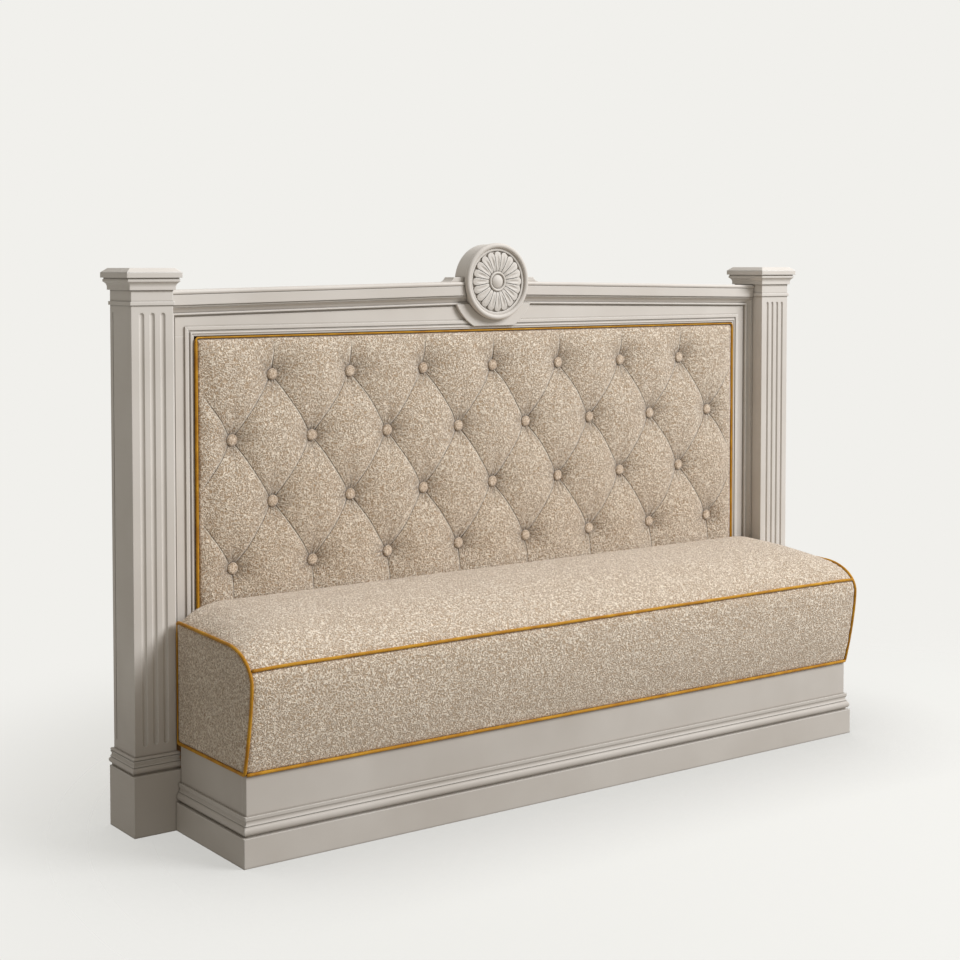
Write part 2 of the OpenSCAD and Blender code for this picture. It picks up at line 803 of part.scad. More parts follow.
module back_pad() color(fabric) {
    nx = len(pad_xs);
    nz = len(pad_zs);
    face = [for (z = pad_zs) for (x = pad_xs) [x, post_front_y + pad_face(x, z), z]];
    corners = [for (z = [pad_bottom, pad_top]) for (x = [-pad_half_w, pad_half_w])
        [x, post_front_y + pad_rear, z]];
    c = nx * nz;
    // Each cell is split along the pleat that would cross it
    cells = [for (j = [0 : nz - 2]) for (i = [0 : nx - 2])
        let (
            p = j * nx + i,
            x = (pad_xs[i] + pad_xs[i + 1]) / 2 / (button_pitch / 2),
            z = ((pad_zs[j] + pad_zs[j + 1]) / 2 - top_row_z) / row_pitch,
            rising = dome((x - z) / 2) < dome((x + z) / 2)
        )
        each rising
            ? [[p, p + nx + 1, p + 1], [p, p + nx, p + nx + 1]]
            : [[p, p + nx, p + 1], [p + 1, p + nx, p + nx + 1]]];
    low = [for (i = [0 : nx - 2]) [i, i + 1, c]];
    high = [for (i = [0 : nx - 2]) [(nz - 1) * nx + i + 1, (nz - 1) * nx + i, c + 3]];
    lefts = [for (j = [0 : nz - 2]) [(j + 1) * nx, j * nx, c + 2]];
    rights = [for (j = [0 : nz - 2]) [j * nx + nx - 1, (j + 1) * nx + nx - 1, c + 1]];
    closing = [
        [nx - 1, c + 1, c], [(nz - 1) * nx, c + 2, c + 3], [0, c, c + 2], [nz * nx - 1, c + 3, c + 1],
        [c, c + 1, c + 3], [c, c + 3, c + 2]
    ];
    polyhedron(points = concat(face, corners), faces = concat(cells, low, high, lefts, rights, closing));
}

// How far the pad has risen at the rim of a button on its own slopes
button_lift = max([for (i = [-1 : 1]) for (j = [-1 : 1]) if (i != 0 || j != 0)
    tuft_h(i * lattice_x, top_row_z + j * lattice_z)
        / norm([i * lattice_x, j * lattice_z]) * button_d / 2]);

module button() rotate([90, 0, 0]) rotate_extrude($fn = 32) {
    r = button_d / 2;
    dome_r = (r * r + button_dome_h * button_dome_h) / (2 * button_dome_h);
    square([r, button_rim_h]);
    intersection() {
        translate([0, button_rim_h + button_dome_h - dome_r]) circle(r = dome_r, $fn = 96);
        translate([0, button_rim_h]) square([r, button_dome_h]);
    }
}

module button_row(r) color(fabric) for (x = row_x(r))
    translate([x, post_front_y + button_seat_behind - button_lift - soft_gap, row_z[r]]) button();

module tie_places() for (r = [0 : button_rows - 1]) for (x = row_x(r))
    translate([x, post_front_y, row_z[r]]) rotate([-90, 0, 0]) children();

module pad_board() color(timber) difference() {
    board(
        joint_gap - opening_half_w, opening_half_w - joint_gap, pad_board_front, stile_rear,
        opening_bottom, opening_top - joint_gap);
    tie_places() translate([0, 0, pad_board_front - overrun])
        cylinder(d = tie_hole_d, h = pad_board_t + 2 * overrun);
}

module button_ties() color(cord_colour) tie_places() {
    translate([0, 0, pad_board_front]) cylinder(d = tie_d, h = pad_board_t);
    translate([0, 0, stile_rear]) cylinder(d = washer_d, h = washer_t);
}

module batten(side) color(dark_timber) on_side(side) board(
    batten_overlap - opening_half_w - batten_w, batten_overlap - opening_half_w,
    stile_rear, rear_panel_front, opening_bottom, opening_top);

module rear_panel() color(dark_timber) slab(rear_panel_front, post_d)
    gabled_band(lower_rail_bottom, fascia_top, post_inner_x, flat_foot = true);

module back_piping() color(gold) {
    r = back_piping_d / 2;
    x = opening_half_w - r - soft_gap;
    z0 = opening_bottom + r + soft_gap;
    z1 = opening_top - r - soft_gap;
    behind_posts(pad_edge_behind) {
        for (s = [left, right]) {
            translate([s * x, 0, z0]) cylinder(r = r, h = z1 - z0, $fn = 24);
            translate([s * x, 0, z1]) sphere(r = r, $fn = 24);
        }
        translate([-x, 0, z1]) rotate([0, 90, 0]) cylinder(r = r, h = 2 * x, $fn = 24);
    }
}

// Seat

// The seat's end is drawn as points of [depth behind the post fronts, height, lift, push, back, notch]:
// lift, push and back say how much of the crown, of the front's swelling and of the rear's
// swelling a point takes away from the ends, and notch marks the sunk seam of the front piping.
round_z = seat_h - seat_fall - front_round_h;
round_y = front_round_d - seat_reach;
foot_y = front_draw - seat_reach;
foot_z = seat_bottom + foot_chamfer;
seat_depth = seat_reach + seat_rear;

function arc_point(y, z, ry, rz, a) = [y + ry * cos(a), z + rz * sin(a)];
function arc_steps(y, z, r, a0, a1) =
    [for (i = [0 : corner_steps]) arc_point(y, z, r, r, a0 + (a1 - a0) * i / corner_steps)];

function rear_share(z) = (z - seat_bottom) / (seat_h - seat_bottom);
function rear_point(p) =
    let (t = rear_share(p[1]))
    [p[0], p[1], pow(t, rear_rise_power), 0, sin(90 * min(1, draw_power * t)), 0];
function top_point(p, notch = 0) =
    let (u = min(1, max(0, (seat_rear - p[0]) / seat_depth)))
    [p[0], p[1], cos(90 * pow(u, crown_reach_power)), max(0, 1 - (p[0] + seat_reach) / front_round_d),
        max(0, 1 - 2 * draw_power * u), notch];
function round_point(a, notch = 0) =
    top_point(arc_point(round_y, round_z, front_round_d, front_round_h, a), notch);
function front_point(t) = [
    front_draw * pow(t, draw_power) - seat_reach, round_z + (foot_z - round_z) * t,
    0, cos(90 * t * t), 0, 0
];

// Angle on the rounded front corner that half the notch of the front piping takes up
welt_tangent = norm([front_round_d * sin(front_welt_angle), front_round_h * cos(front_welt_angle)]);
notch_angle = notch_w / welt_tangent * 180 / PI;

function foot_points(rounded) = rounded
    ? [for (p = arc_steps(foot_y + foot_chamfer, foot_z, foot_chamfer, 180, 270))
        if (p[1] < foot_z) concat(p, [0, 0, 0, 0])]
    : [[foot_y + foot_chamfer, seat_bottom, 0, 0, 0, 0]];

function rear_points() = [for (p = concat(
    arc_steps(seat_rear - foot_chamfer, foot_z, foot_chamfer, -90, 0),
    arc_steps(seat_rear - rear_round_r, seat_h - rear_round_r, rear_round_r, 0, 90)
)) rear_point(p)];

function round_points() =
    let (over = front_welt_angle - notch_angle, under = front_welt_angle + notch_angle)
    concat(
        [for (i = [0 : round_steps]) round_point(90 + (over - 90) * i / round_steps)],
        [round_point(front_welt_angle, 1), round_point(under)]
    );

function seat_outline(rounded) = concat(
    rear_points(),
    [for (i = [1 : top_steps - 1]) let (t = i / top_steps)
        top_point([(seat_rear - rear_round_r) * (1 - t) + round_y * t, seat_h - seat_fall * t])],
    round_points(),
    [for (i = [0 : front_steps]) front_point(i / front_steps)],
    foot_points(rounded)
);

// Unit vector into the outline at each of its points
function inward(o, i) =
    let (
        n = len(o),
        a = o[(i + n - 1) % n],
        b = o[(i + 1) % n],
        t = [b[0] - a[0], b[1] - a[1]]
    )
    [-t[1], t[0]] / norm(t);

body_outline = seat_outline(false);
body_inward = [for (i = [0 : len(body_outline) - 1]) inward(body_outline, i)];
welt_outline = seat_outline(true);
welt_index = search([1], [for (p = body_outline) p[5]])[0];

// Share of the full crown at a distance from the seat's end
function swell(d) = d <= welt_chamfer ? 0 : 1 - pow(1 - min(1, (d - welt_chamfer) / end_roll), crown_power);

// A point of the seat's surface: outline point i at the station x, with its notch cut or filled
function seat_point(i, x, cut) =
    let (
        d = seat_half_len - abs(x),
        p = body_outline[i],
        n = body_inward[i],
        sink = max(0, welt_chamfer - d) + cut * p[5],
        s = swell(d)
    )
    [
        x,
        post_front_y + p[0] + n[0] * sink - front_bulge * p[3] * s + rear_bulge * p[4] * s,
        p[1] + n[1] * sink + crown_h * p[2] * s
    ];

// Stations along half of the seat, close together where the ends roll over
half_stations = concat(
    [0, welt_chamfer],
    [for (i = [1 : roll_steps]) welt_chamfer + end_roll * pow(i / roll_steps, station_power)],
    [for (i = [1 : long_steps])
        let (rolled = welt_chamfer + end_roll)
        rolled + (seat_half_len - rolled) * i / long_steps]
);
stations = concat(
    [for (d = half_stations) d - seat_half_len],
    [for (i = [len(half_stations) - 2 : -1 : 0]) seat_half_len - half_stations[i]]
);

// Triangles between rings of n points each, ring by ring
function skin(rings, n, closed = false) =
    [for (k = [0 : rings - (closed ? 1 : 2)]) for (j = [0 : n - 1])
        let (a = k * n, b = (k + 1) % rings * n, i = (j + 1) % n)
        each [[a + j, b + j, a + i], [b + j, b + i, a + i]]];

function ring_centre(ring) = [for (k = [0 : 2]) ([for (p = ring) p[k]] * [for (p = ring) 1]) / len(ring)];

// A flat ring drawn in towards its centre and pushed outwards along X
function puffed(ring, share, push) =
    let (c = ring_centre(ring))
    [for (p = ring) c + (p - c) * share + [push, 0, 0]];

module seat_form() {
    n = len(body_outline);
    body = [for (x = stations) [for (i = [0 : n - 1]) seat_point(i, x, notch_depth)]];
    first = body[0];
    last = body[len(body) - 1];
    left_cap = puffed(first, end_puff_share, -end_puff);
    right_cap = puffed(last, end_puff_share, end_puff);
    rings = concat([left_cap], body, [right_cap]);
    points = [for (r = rings) for (p = r) p];
    tip = len(points);
    base = (len(rings) - 1) * n;
    tips = [ring_centre(left_cap), ring_centre(right_cap)];
    ends = [for (j = [0 : n - 1]) let (i = (j + 1) % n) each [[j, i, tip], [base + i, base + j, tip + 1]]];
    polyhedron(points = concat(points, tips), faces = concat(skin(len(rings), n), ends));
}

module seat_board_space(gap) board(
    seat_board_margin - seat_half_len - gap, seat_half_len - seat_board_margin + gap,
    foot_y + seat_board_margin - gap, seat_rear - seat_board_margin + gap,
    base_h - gap, base_h + seat_board_t + gap);

module seat_cushion() color(fabric) difference() {
    seat_form();
    seat_board_space(soft_gap);
}

module seat_board() color(timber) seat_board_space(0);

// A tube along a list of centres, each with the two unit vectors that span its ring
module tube(path, d, closed = false) {
    n = len(path);
    points = [for (s = path) for (j = [0 : ring_sides - 1])
        let (a = 360 * (j + 0.5) / ring_sides)
        s[0] + d / 2 * (cos(a) * s[1] + sin(a) * s[2])];
    caps = closed ? [] : [
        [for (j = [0 : ring_sides - 1]) j],
        [for (j = [ring_sides - 1 : -1 : 0]) (n - 1) * ring_sides + j]
    ];
    polyhedron(points = points, faces = concat(skin(n, ring_sides, closed), caps));
}

welt_x = seat_half_len - welt_sink;

module seat_piping_end(side) color(gold) tube([
    for (i = [0 : len(welt_outline) - 1])
        let (p = welt_outline[i], v = inward(welt_outline, i))
        [
            [side * welt_x, post_front_y + p[0] + v[0] * welt_sink, p[1] + v[1] * welt_sink],
            [0, -side * v[0], -side * v[1]], [1, 0, 0]
        ]
], seat_piping_d, closed = true);

// The front piping lies in its notch, just clear of both sides of it
welt_stand = (seat_piping_d / 2 + soft_gap) / cos(atan(notch_depth / notch_w));
long_welt_end = welt_x - seat_piping_d / 2 - soft_gap;

module seat_piping_front() color(gold) {
    xs = concat([-long_welt_end], [for (x = stations) if (abs(x) < long_welt_end) x], [long_welt_end]);
    n = body_inward[welt_index];
    tube([
        for (x = xs) [
            seat_point(welt_index, x, notch_depth - welt_stand), [0, n[0], n[1]], [0, n[1], -n[0]]
        ]
    ], seat_piping_d);
}

module seat_piping_bottom() color(gold) translate([
        -long_welt_end, post_front_y + foot_y, seat_bottom + foot_welt_drop
    ]) rotate([0, 90, 0]) cylinder(d = seat_piping_d, h = 2 * long_welt_end, $fn = 24);

post_block(left);  // post_left_block
post_base(left);  // post_left_base
post_shaft(left, left_flutes, left_flute_w, left_flute_pitch);  // post_left_shaft
post_capital(left);  // post_left_capital
post_cap(left);  // post_left_cap
post_block(right);  // post_right_block
post_base(right);  // post_right_base
post_shaft(right, right_flutes, right_flute_w, right_flute_pitch);  // post_right_shaft
post_capital(right);  // post_right_capital
post_cap(right);  // post_right_cap
base_front_panel();
base_side_panel(left);  // base_left_panel
base_side_panel(right);  // base_right_panel
base_rear_panel();
base_deck();
base_divider(left);  // base_left_divider
base_divider(right);  // base_right_divider
plinth_board_front();
plinth_board_side(left);  // plinth_board_left
plinth_board_side(right);  // plinth_board_right
base_moulding_front();
base_moulding_side(left);  // base_moulding_left
base_moulding_side(right);  // base_moulding_right
lower_rail();
top_rail();
stile(left);  // stile_left
stile(right);  // stile_right
outer_moulding_side(left);  // outer_moulding_left
outer_moulding_side(right);  // outer_moulding_right
outer_moulding_top(left);  // outer_moulding_top_left
outer_moulding_top(right);  // outer_moulding_top_right
inner_moulding_side(left);  // inner_moulding_left
inner_moulding_side(right);  // inner_moulding_right
inner_moulding_top();
cornice(left);  // cornice_left
cornice(right);  // cornice_right
spandrel_plate();
medallion_drum();
medallion_rim();
rosette_petals();
rosette_boss();
pad_board();
batten(left);  // batten_left
batten(right);  // batten_right
rear_panel();
button_ties();
back_pad();
back_piping();
button_row(0);  // button_row_1
button_row(1);  // button_row_2
button_row(2);  // button_row_3
button_row(3);  // button_row_4
seat_board();
seat_cushion();
seat_piping_end(left);  // seat_piping_left
seat_piping_end(right);  // seat_piping_right
seat_piping_front();
seat_piping_bottom();
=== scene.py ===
import math

import bmesh
import bpy
import numpy as np
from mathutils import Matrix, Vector, noise


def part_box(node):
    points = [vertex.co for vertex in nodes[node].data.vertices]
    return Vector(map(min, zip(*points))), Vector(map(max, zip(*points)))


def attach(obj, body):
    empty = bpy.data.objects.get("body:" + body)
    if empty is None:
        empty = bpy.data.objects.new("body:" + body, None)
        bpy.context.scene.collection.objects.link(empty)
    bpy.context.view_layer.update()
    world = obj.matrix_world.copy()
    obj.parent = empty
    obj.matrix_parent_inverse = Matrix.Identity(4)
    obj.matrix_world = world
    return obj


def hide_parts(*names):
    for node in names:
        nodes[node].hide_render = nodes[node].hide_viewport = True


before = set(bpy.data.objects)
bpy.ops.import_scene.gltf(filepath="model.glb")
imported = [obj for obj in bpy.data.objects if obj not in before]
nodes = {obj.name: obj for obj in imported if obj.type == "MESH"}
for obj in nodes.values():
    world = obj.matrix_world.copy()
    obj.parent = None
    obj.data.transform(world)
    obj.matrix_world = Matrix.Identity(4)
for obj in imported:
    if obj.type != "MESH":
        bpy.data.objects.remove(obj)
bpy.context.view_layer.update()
scene = bpy.context.scene
blockProjection = 0.0158
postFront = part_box("post_left_block")[0].y + blockProjection  # front faces of the two shafts
print("frame loaded,", len(nodes), "nodes")


# Camera, where the photographer stood

cameraPlace = {
    "location": (-2.5685, -3.3374, 1.2304),
    "turn": -35.90,
    "tilt": -2.63,
    "focal": 65.77,
    "shiftY": -0.1406,
}

bpy.ops.object.camera_add(
    location=cameraPlace["location"],
    rotation=(math.radians(90 + cameraPlace["tilt"]), 0, math.radians(cameraPlace["turn"])),
)
camera = bpy.context.object
camera.name = "photoCamera"
camera.data.sensor_width = 36
camera.data.lens = cameraPlace["focal"]
camera.data.shift_y = cameraPlace["shiftY"]
scene.camera = camera


# Small tools

def deselectAll():
    for item in list(bpy.context.selected_objects):
        item.select_set(False)


def makeActive(piece):
    deselectAll()
    piece.select_set(True)
    bpy.context.view_layer.objects.active = piece


def applyModifiers(piece):
    makeActive(piece)
    for modifier in list(piece.modifiers):
        bpy.ops.object.modifier_apply(modifier=modifier.name)


def settle(piece):
    # origin to the world's, place into the mesh
    makeActive(piece)
    bpy.ops.object.transform_apply(location=True, rotation=True, scale=True)


def readPoints(piece, what="co"):
    flat = np.empty(len(piece.data.vertices) * 3)
    piece.data.vertices.foreach_get(what, flat)
    return flat.reshape(-1, 3)


def writePoints(piece, points):
    piece.data.vertices.foreach_set("co", np.ascontiguousarray(points, dtype=np.float32).ravel())
    piece.data.update()


def clothGrid(name, columns, rows):
    # a flat cut of cloth, ready to be laid point by point by its column and row
    deselectAll()
    bpy.ops.mesh.primitive_grid_add(x_subdivisions=columns - 1, y_subdivisions=rows - 1, size=2)
    piece = bpy.context.object
    piece.name = name
    flat = readPoints(piece)
    column = np.rint((flat[:, 0] + 1) / 2 * (columns - 1)).astype(int)
    row = np.rint((flat[:, 1] + 1) / 2 * (rows - 1)).astype(int)
    return piece, column, row


def sewShut(piece, gap=0.0002):
    # the cut edges meet, and the outside faces out
    makeActive(piece)
    bpy.ops.object.mode_set(mode="EDIT")
    bpy.ops.mesh.select_all(action="SELECT")
    bpy.ops.mesh.remove_doubles(threshold=gap)
    bpy.ops.mesh.normals_make_consistent(inside=False)
    bpy.ops.mesh.select_all(action="DESELECT")
    bpy.ops.object.mode_set(mode="OBJECT")


def roughField(points, size, seed):
    # slow random field from -1 to 1, one value for each point
    out = np.empty(len(points))
    for i, p in enumerate(points):
        out[i] = noise.noise(Vector(p / size) + Vector((seed, seed * 1.7, 0)))
    return out


def addValues(piece, name, values):
    attribute = piece.data.attributes.new(name, "FLOAT", "POINT")
    attribute.data.foreach_set("value", np.ascontiguousarray(values, dtype=np.float32))


def holdNear(away, close, reach):
    # 1 up to the close distance, then down to 0 over the reach
    return np.clip(1 - (away - close) / reach, 0, 1)


def subdivideOnce(piece):
    finer = piece.modifiers.new("finer", "SUBSURF")
    finer.levels = 1
    finer.render_levels = 1
    applyModifiers(piece)


def stuff(piece, sewn, fabric):
    # the cover is blown up from inside and held where it is sewn
    before = readPoints(piece)
    group = piece.vertex_groups.new(name="sewn")
    grades = 10
    for level in range(1, grades + 1):
        picked = np.nonzero(np.rint(sewn * grades).astype(int) == level)[0]
        group.add(picked.tolist(), level / grades, "REPLACE")
    cloth = piece.modifiers.new("cover", "CLOTH")
    cover = cloth.settings
    cover.quality = fabric["quality"]
    cover.mass = fabric["mass"]
    cover.tension_stiffness = fabric["stretch"]
    cover.compression_stiffness = fabric["stretch"]
    cover.shear_stiffness = fabric["shear"]
    cover.bending_stiffness = fabric["bend"]
    cover.vertex_group_mass = group.name
    cover.pin_stiffness = 1
    cover.use_pressure = True
    cover.uniform_pressure_force = fabric["pressure"]
    cover.effector_weights.gravity = 0
    cloth.point_cache.frame_start = 1
    cloth.point_cache.frame_end = fabric["frames"]
    for step in range(1, fabric["frames"] + 1):
        scene.frame_set(step)
    makeActive(piece)
    bpy.ops.object.modifier_apply(modifier=cloth.name)
    scene.frame_set(1)
    piece.vertex_groups.clear()
    move = readPoints(piece) - before
    length = np.linalg.norm(move, axis=1, keepdims=True)
    writePoints(piece, before + move * np.minimum(1, fabric["cap"] / np.maximum(length, 1e-9)))
    print(piece.name, "stuffed, moved up to", round(float(length.max()) * 1000, 1), "mm")


# Shader tools

def addNode(tree, kind, feeds=None, **settings):
    # feeds are links or fixed values for the node's sockets
    node = tree.nodes.new(kind)
    for name, value in settings.items():
        setattr(node, name, value)
    for name, value in (feeds or {}).items():
        if isinstance(value, bpy.types.NodeSocket):
            tree.links.new(value, node.inputs[name])
        else:
            node.inputs[name].default_value = value
    return node


def calc(tree, operation, a, b=0.0, c=0.0):
    return addNode(tree, "ShaderNodeMath", {0: a, 1: b, 2: c}, operation=operation).outputs[0]


def vectorCalc(tree, operation, a, b=(0, 0, 0)):
    return addNode(tree, "ShaderNodeVectorMath", {0: a, 1: b}, operation=operation)


def remap(tree, value, low, high, toLow=0.0, toHigh=1.0, smooth=False):
    kind = "SMOOTHSTEP" if smooth else "LINEAR"
    feeds = {0: value, 1: low, 2: high, 3: toLow, 4: toHigh}
    return addNode(tree, "ShaderNodeMapRange", feeds, interpolation_type=kind).outputs[0]


def blendColour(tree, factor, a, b, mode="MIX"):
    feeds = {0: factor, 6: a, 7: b}
    return addNode(tree, "ShaderNodeMix", feeds, data_type="RGBA", blend_type=mode).outputs[2]


def blendBy(tree, mask, share, a, b):
    # the mask lets through only its share of the second colour
    return blendColour(tree, calc(tree, "MULTIPLY", mask, share), a, b)


def noiseTexture(tree, vector, scale, detail=2.0, roughness=0.5, distortion=0.0):
    feeds = {"Vector": vector, "Scale": scale, "Detail": detail, "Roughness": roughness,
             "Distortion": distortion}
    return addNode(tree, "ShaderNodeTexNoise", feeds)


def attributeValue(tree, name):
    return addNode(tree, "ShaderNodeAttribute", attribute_name=name).outputs["Fac"]


def seenPlainly(tree):
    # 1 for the camera, mirrors and glass, 0 for the light that falls on the bench
    path = addNode(tree, "ShaderNodeLightPath").outputs
    mirrored = calc(tree, "MAXIMUM", path["Is Glossy Ray"], path["Is Transmission Ray"])
    return calc(tree, "MAXIMUM", path["Is Camera Ray"], mirrored)


def layOut(tree):
    # columns by distance from the output, for whoever opens the tree
    depth = {}

    def stepsBefore(node):
        if node.name not in depth:
            fed = [link.to_node for socket in node.outputs for link in socket.links]
            depth[node.name] = 1 + max(stepsBefore(other) for other in fed) if fed else 0
        return depth[node.name]

    filled = {}
    for node in tree.nodes:
        level = stepsBefore(node)
        filled[level] = filled.get(level, 0) + 1
        node.location = (-240 * level, 260 - 220 * filled[level])


def newGroup(name, inputs, outputs):
    tree = bpy.data.node_groups.new(name, "ShaderNodeTree")
    for label, kind in inputs:
        tree.interface.new_socket(label, in_out="INPUT", socket_type=kind)
    for label, kind in outputs:
        tree.interface.new_socket(label, in_out="OUTPUT", socket_type=kind)
    return tree, tree.nodes.new("NodeGroupInput"), tree.nodes.new("NodeGroupOutput")


def placeGroup(tree, group, feeds):
    return addNode(tree, "ShaderNodeGroup", feeds, node_tree=group)


def newMaterial(name):
    material = bpy.data.materials.new(name)
    material.use_nodes = True
    tree = material.node_tree
    position = addNode(tree, "ShaderNodeTexCoord").outputs["Object"]
    return material, tree, tree.nodes["Principled BSDF"], position


def endMaterial(tree, surface, cover, dull, relief, fixed=None):
    # relief feeds the bump, fixed values stay on the shader's own sockets
    bump = addNode(tree, "ShaderNodeBump", relief)
    for name, source in (("Base Color", cover), ("Roughness", dull), ("Normal", bump.outputs[0])):
        tree.links.new(source, surface.inputs[name])
    for name, value in (fixed or {}).items():
        surface.inputs[name].default_value = value
    layOut(tree)


def colour(red, green, blue):
    # as seen on a screen, 0 to 255, to Blender's linear colour
    def linear(value):
        value = value / 255
        return value / 12.92 if value <= 0.04045 else ((value + 0.055) / 1.055) ** 2.4
    return (linear(red), linear(green), linear(blue), 1)


# Shared effects

yarnShape = {
    "driftScale": 0.8,
    "driftPush": 1.1,
    "thick": {"scale": 0.95, "width": 0.15, "share": 0.68},
    "thin": {"scale": 1.9, "width": 0.16, "share": 0.32},
    "speckScale": 3.4,
    "speckTone": 0.12,
}


def makeCurlGroup():
    # looped yarn: worm shaped ridges of two thicknesses, bent by a slower noise
    tree, start, end = newGroup(
        "curledYarn",
        [("Position", "NodeSocketVector"), ("Curl Size", "NodeSocketFloat")],
        [("Height", "NodeSocketFloat"), ("Tone", "NodeSocketFloat")],
    )
    place = vectorCalc(tree, "SCALE", start.outputs["Position"])
    tree.links.new(calc(tree, "DIVIDE", 1.0, start.outputs["Curl Size"]), place.inputs["Scale"])
    drift = noiseTexture(tree, place.outputs[0], yarnShape["driftScale"], detail=0.0)
    centred = vectorCalc(tree, "SUBTRACT", drift.outputs["Color"], (0.5, 0.5, 0.5))
    push = vectorCalc(tree, "SCALE", centred.outputs[0])
    push.inputs["Scale"].default_value = yarnShape["driftPush"]
    bent = vectorCalc(tree, "ADD", place.outputs[0], push.outputs[0]).outputs[0]
    ridges = []
    for strand in (yarnShape["thick"], yarnShape["thin"]):
        value = noiseTexture(tree, bent, strand["scale"], detail=0.0).outputs["Fac"]
        away = calc(tree, "ABSOLUTE", calc(tree, "SUBTRACT", value, 0.5))
        ridge = remap(tree, away, 0.0, strand["width"], 1.0, 0.0, smooth=True)
        ridges.append(calc(tree, "MULTIPLY", ridge, strand["share"]))
    height = calc(tree, "ADD", ridges[0], ridges[1])
    speck = noiseTexture(tree, bent, yarnShape["speckScale"], detail=0.0).outputs["Fac"]
    fleck = remap(tree, speck, 0.3, 0.7, -yarnShape["speckTone"], yarnShape["speckTone"])
    tree.links.new(height, end.inputs["Height"])
    tree.links.new(calc(tree, "ADD", height, fleck), end.inputs["Tone"])
    layOut(tree)
    return tree


edgeMask = {
    "samples": 4,
    "bent": (0.86, 0.99),
    "open": (0.80, 0.95),
    "shut": (0.55, 1.00),
}


def makeEdgeGroup():
    # where an edge sticks out or two faces meet, from softened normals and nearness
    tree, start, end = newGroup(
        "edgesAndCorners",
        [("Radius", "NodeSocketFloat"), ("Reach", "NodeSocketFloat")],
        [("Edge", "NodeSocketFloat"), ("Corner", "NodeSocketFloat"), ("Normal", "NodeSocketVector")],
    )
    samples = edgeMask["samples"]
    bevel = addNode(tree, "ShaderNodeBevel", {"Radius": start.outputs["Radius"]}, samples=samples)
    facing = addNode(tree, "ShaderNodeNewGeometry").outputs["Normal"]
    bend = vectorCalc(tree, "DOT_PRODUCT", bevel.outputs[0], facing).outputs["Value"]
    reach = {"Distance": start.outputs["Reach"]}
    near = addNode(tree, "ShaderNodeAmbientOcclusion", reach, samples=samples).outputs["AO"]
    corner = remap(tree, near, *edgeMask["shut"], 1.0, 0.0)
    bent = remap(tree, bend, *edgeMask["bent"], 1.0, 0.0)
    edge = calc(tree, "MULTIPLY", bent, remap(tree, near, *edgeMask["open"]))
    tree.links.new(edge, end.inputs["Edge"])
    tree.links.new(corner, end.inputs["Corner"])
    tree.links.new(bevel.outputs[0], end.inputs["Normal"])
    layOut(tree)
    return tree


filmShape = {
    "peelScale": 420.0,
    "peelShare": 0.9,
    "markStretch": (18.0, 18.0, 240.0),
    "markShare": 0.1,
    "toneScale": 3.2,
}


def makeFilmGroup():
    # sprayed paint: fine orange peel, faint sanding marks and slow tone changes
    tree, start, end = newGroup(
        "sprayedFilm",
        [("Position", "NodeSocketVector")],
        [("Height", "NodeSocketFloat"), ("Tone", "NodeSocketFloat"), ("Dull", "NodeSocketFloat")],
    )
    position = start.outputs["Position"]
    peel = noiseTexture(tree, position, filmShape["peelScale"], detail=2.0).outputs["Fac"]
    stretch = {"Vector": position, "Scale": filmShape["markStretch"]}
    along = addNode(tree, "ShaderNodeMapping", stretch).outputs[0]
    marks = noiseTexture(tree, along, 1.0, detail=2.0).outputs["Fac"]
    slow = noiseTexture(tree, position, filmShape["toneScale"], detail=3.0, roughness=0.55).outputs["Fac"]
    peelHeight = calc(tree, "MULTIPLY", peel, filmShape["peelShare"])
    markHeight = calc(tree, "MULTIPLY", marks, filmShape["markShare"])
    tree.links.new(calc(tree, "ADD", peelHeight, markHeight), end.inputs["Height"])
    tree.links.new(slow, end.inputs["Tone"])
    tree.links.new(remap(tree, marks, 0.25, 0.75), end.inputs["Dull"])
    layOut(tree)
    return tree


grainShape = {
    "ringStretch": (0.9, 26.0, 26.0),
    "ringScale": 1.9,
    "poreStretch": (14.0, 420.0, 420.0),
}


def makeGrainGroup():
    # raw timber: stretched rings and pores along X
    tree, start, end = newGroup(
        "rawGrain",
        [("Position", "NodeSocketVector")],
        [("Rings", "NodeSocketFloat"), ("Pores", "NodeSocketFloat")],
    )
    position = start.outputs["Position"]
    stretch = {"Vector": position, "Scale": grainShape["ringStretch"]}
    along = addNode(tree, "ShaderNodeMapping", stretch).outputs[0]
    rings = noiseTexture(tree, along, grainShape["ringScale"], detail=6.0, roughness=0.62, distortion=0.45)
    stretch = {"Vector": position, "Scale": grainShape["poreStretch"]}
    fine = addNode(tree, "ShaderNodeMapping", stretch).outputs[0]
    pores = noiseTexture(tree, fine, 1.0, detail=2.0)
    tree.links.new(rings.outputs["Fac"], end.inputs["Rings"])
    tree.links.new(pores.outputs["Fac"], end.inputs["Pores"])
    layOut(tree)
    return tree


curledYarn = makeCurlGroup()
edgesAndCorners = makeEdgeGroup()
sprayedFilm = makeFilmGroup()
rawGrain = makeGrainGroup()


# Finishes

paintLook = {
    "body": colour(216, 210, 203),
    "deep": colour(206, 199, 191),
    # painted highlight colour on the arrises
    "edge": colour(252, 249, 244),
    # painted shade colour in corners and recesses
    "corner": colour(128, 120, 110),
    "roughness": (0.48, 0.62),
    "edgeRadius": 0.0024,
    "cornerReach": 0.0045,
    "edgeShare": 1.0,
    "cornerShare": 0.5,
    "peelDepth": 0.00006,
    # painted shade, darker towards the floor
    "lowShadeTone": (0.79, 0.78, 0.77, 1),
    "lowShadeFrom": 0.40,
    "lowShadeTo": 0.14,
    "lowShadeWander": 0.04,
}


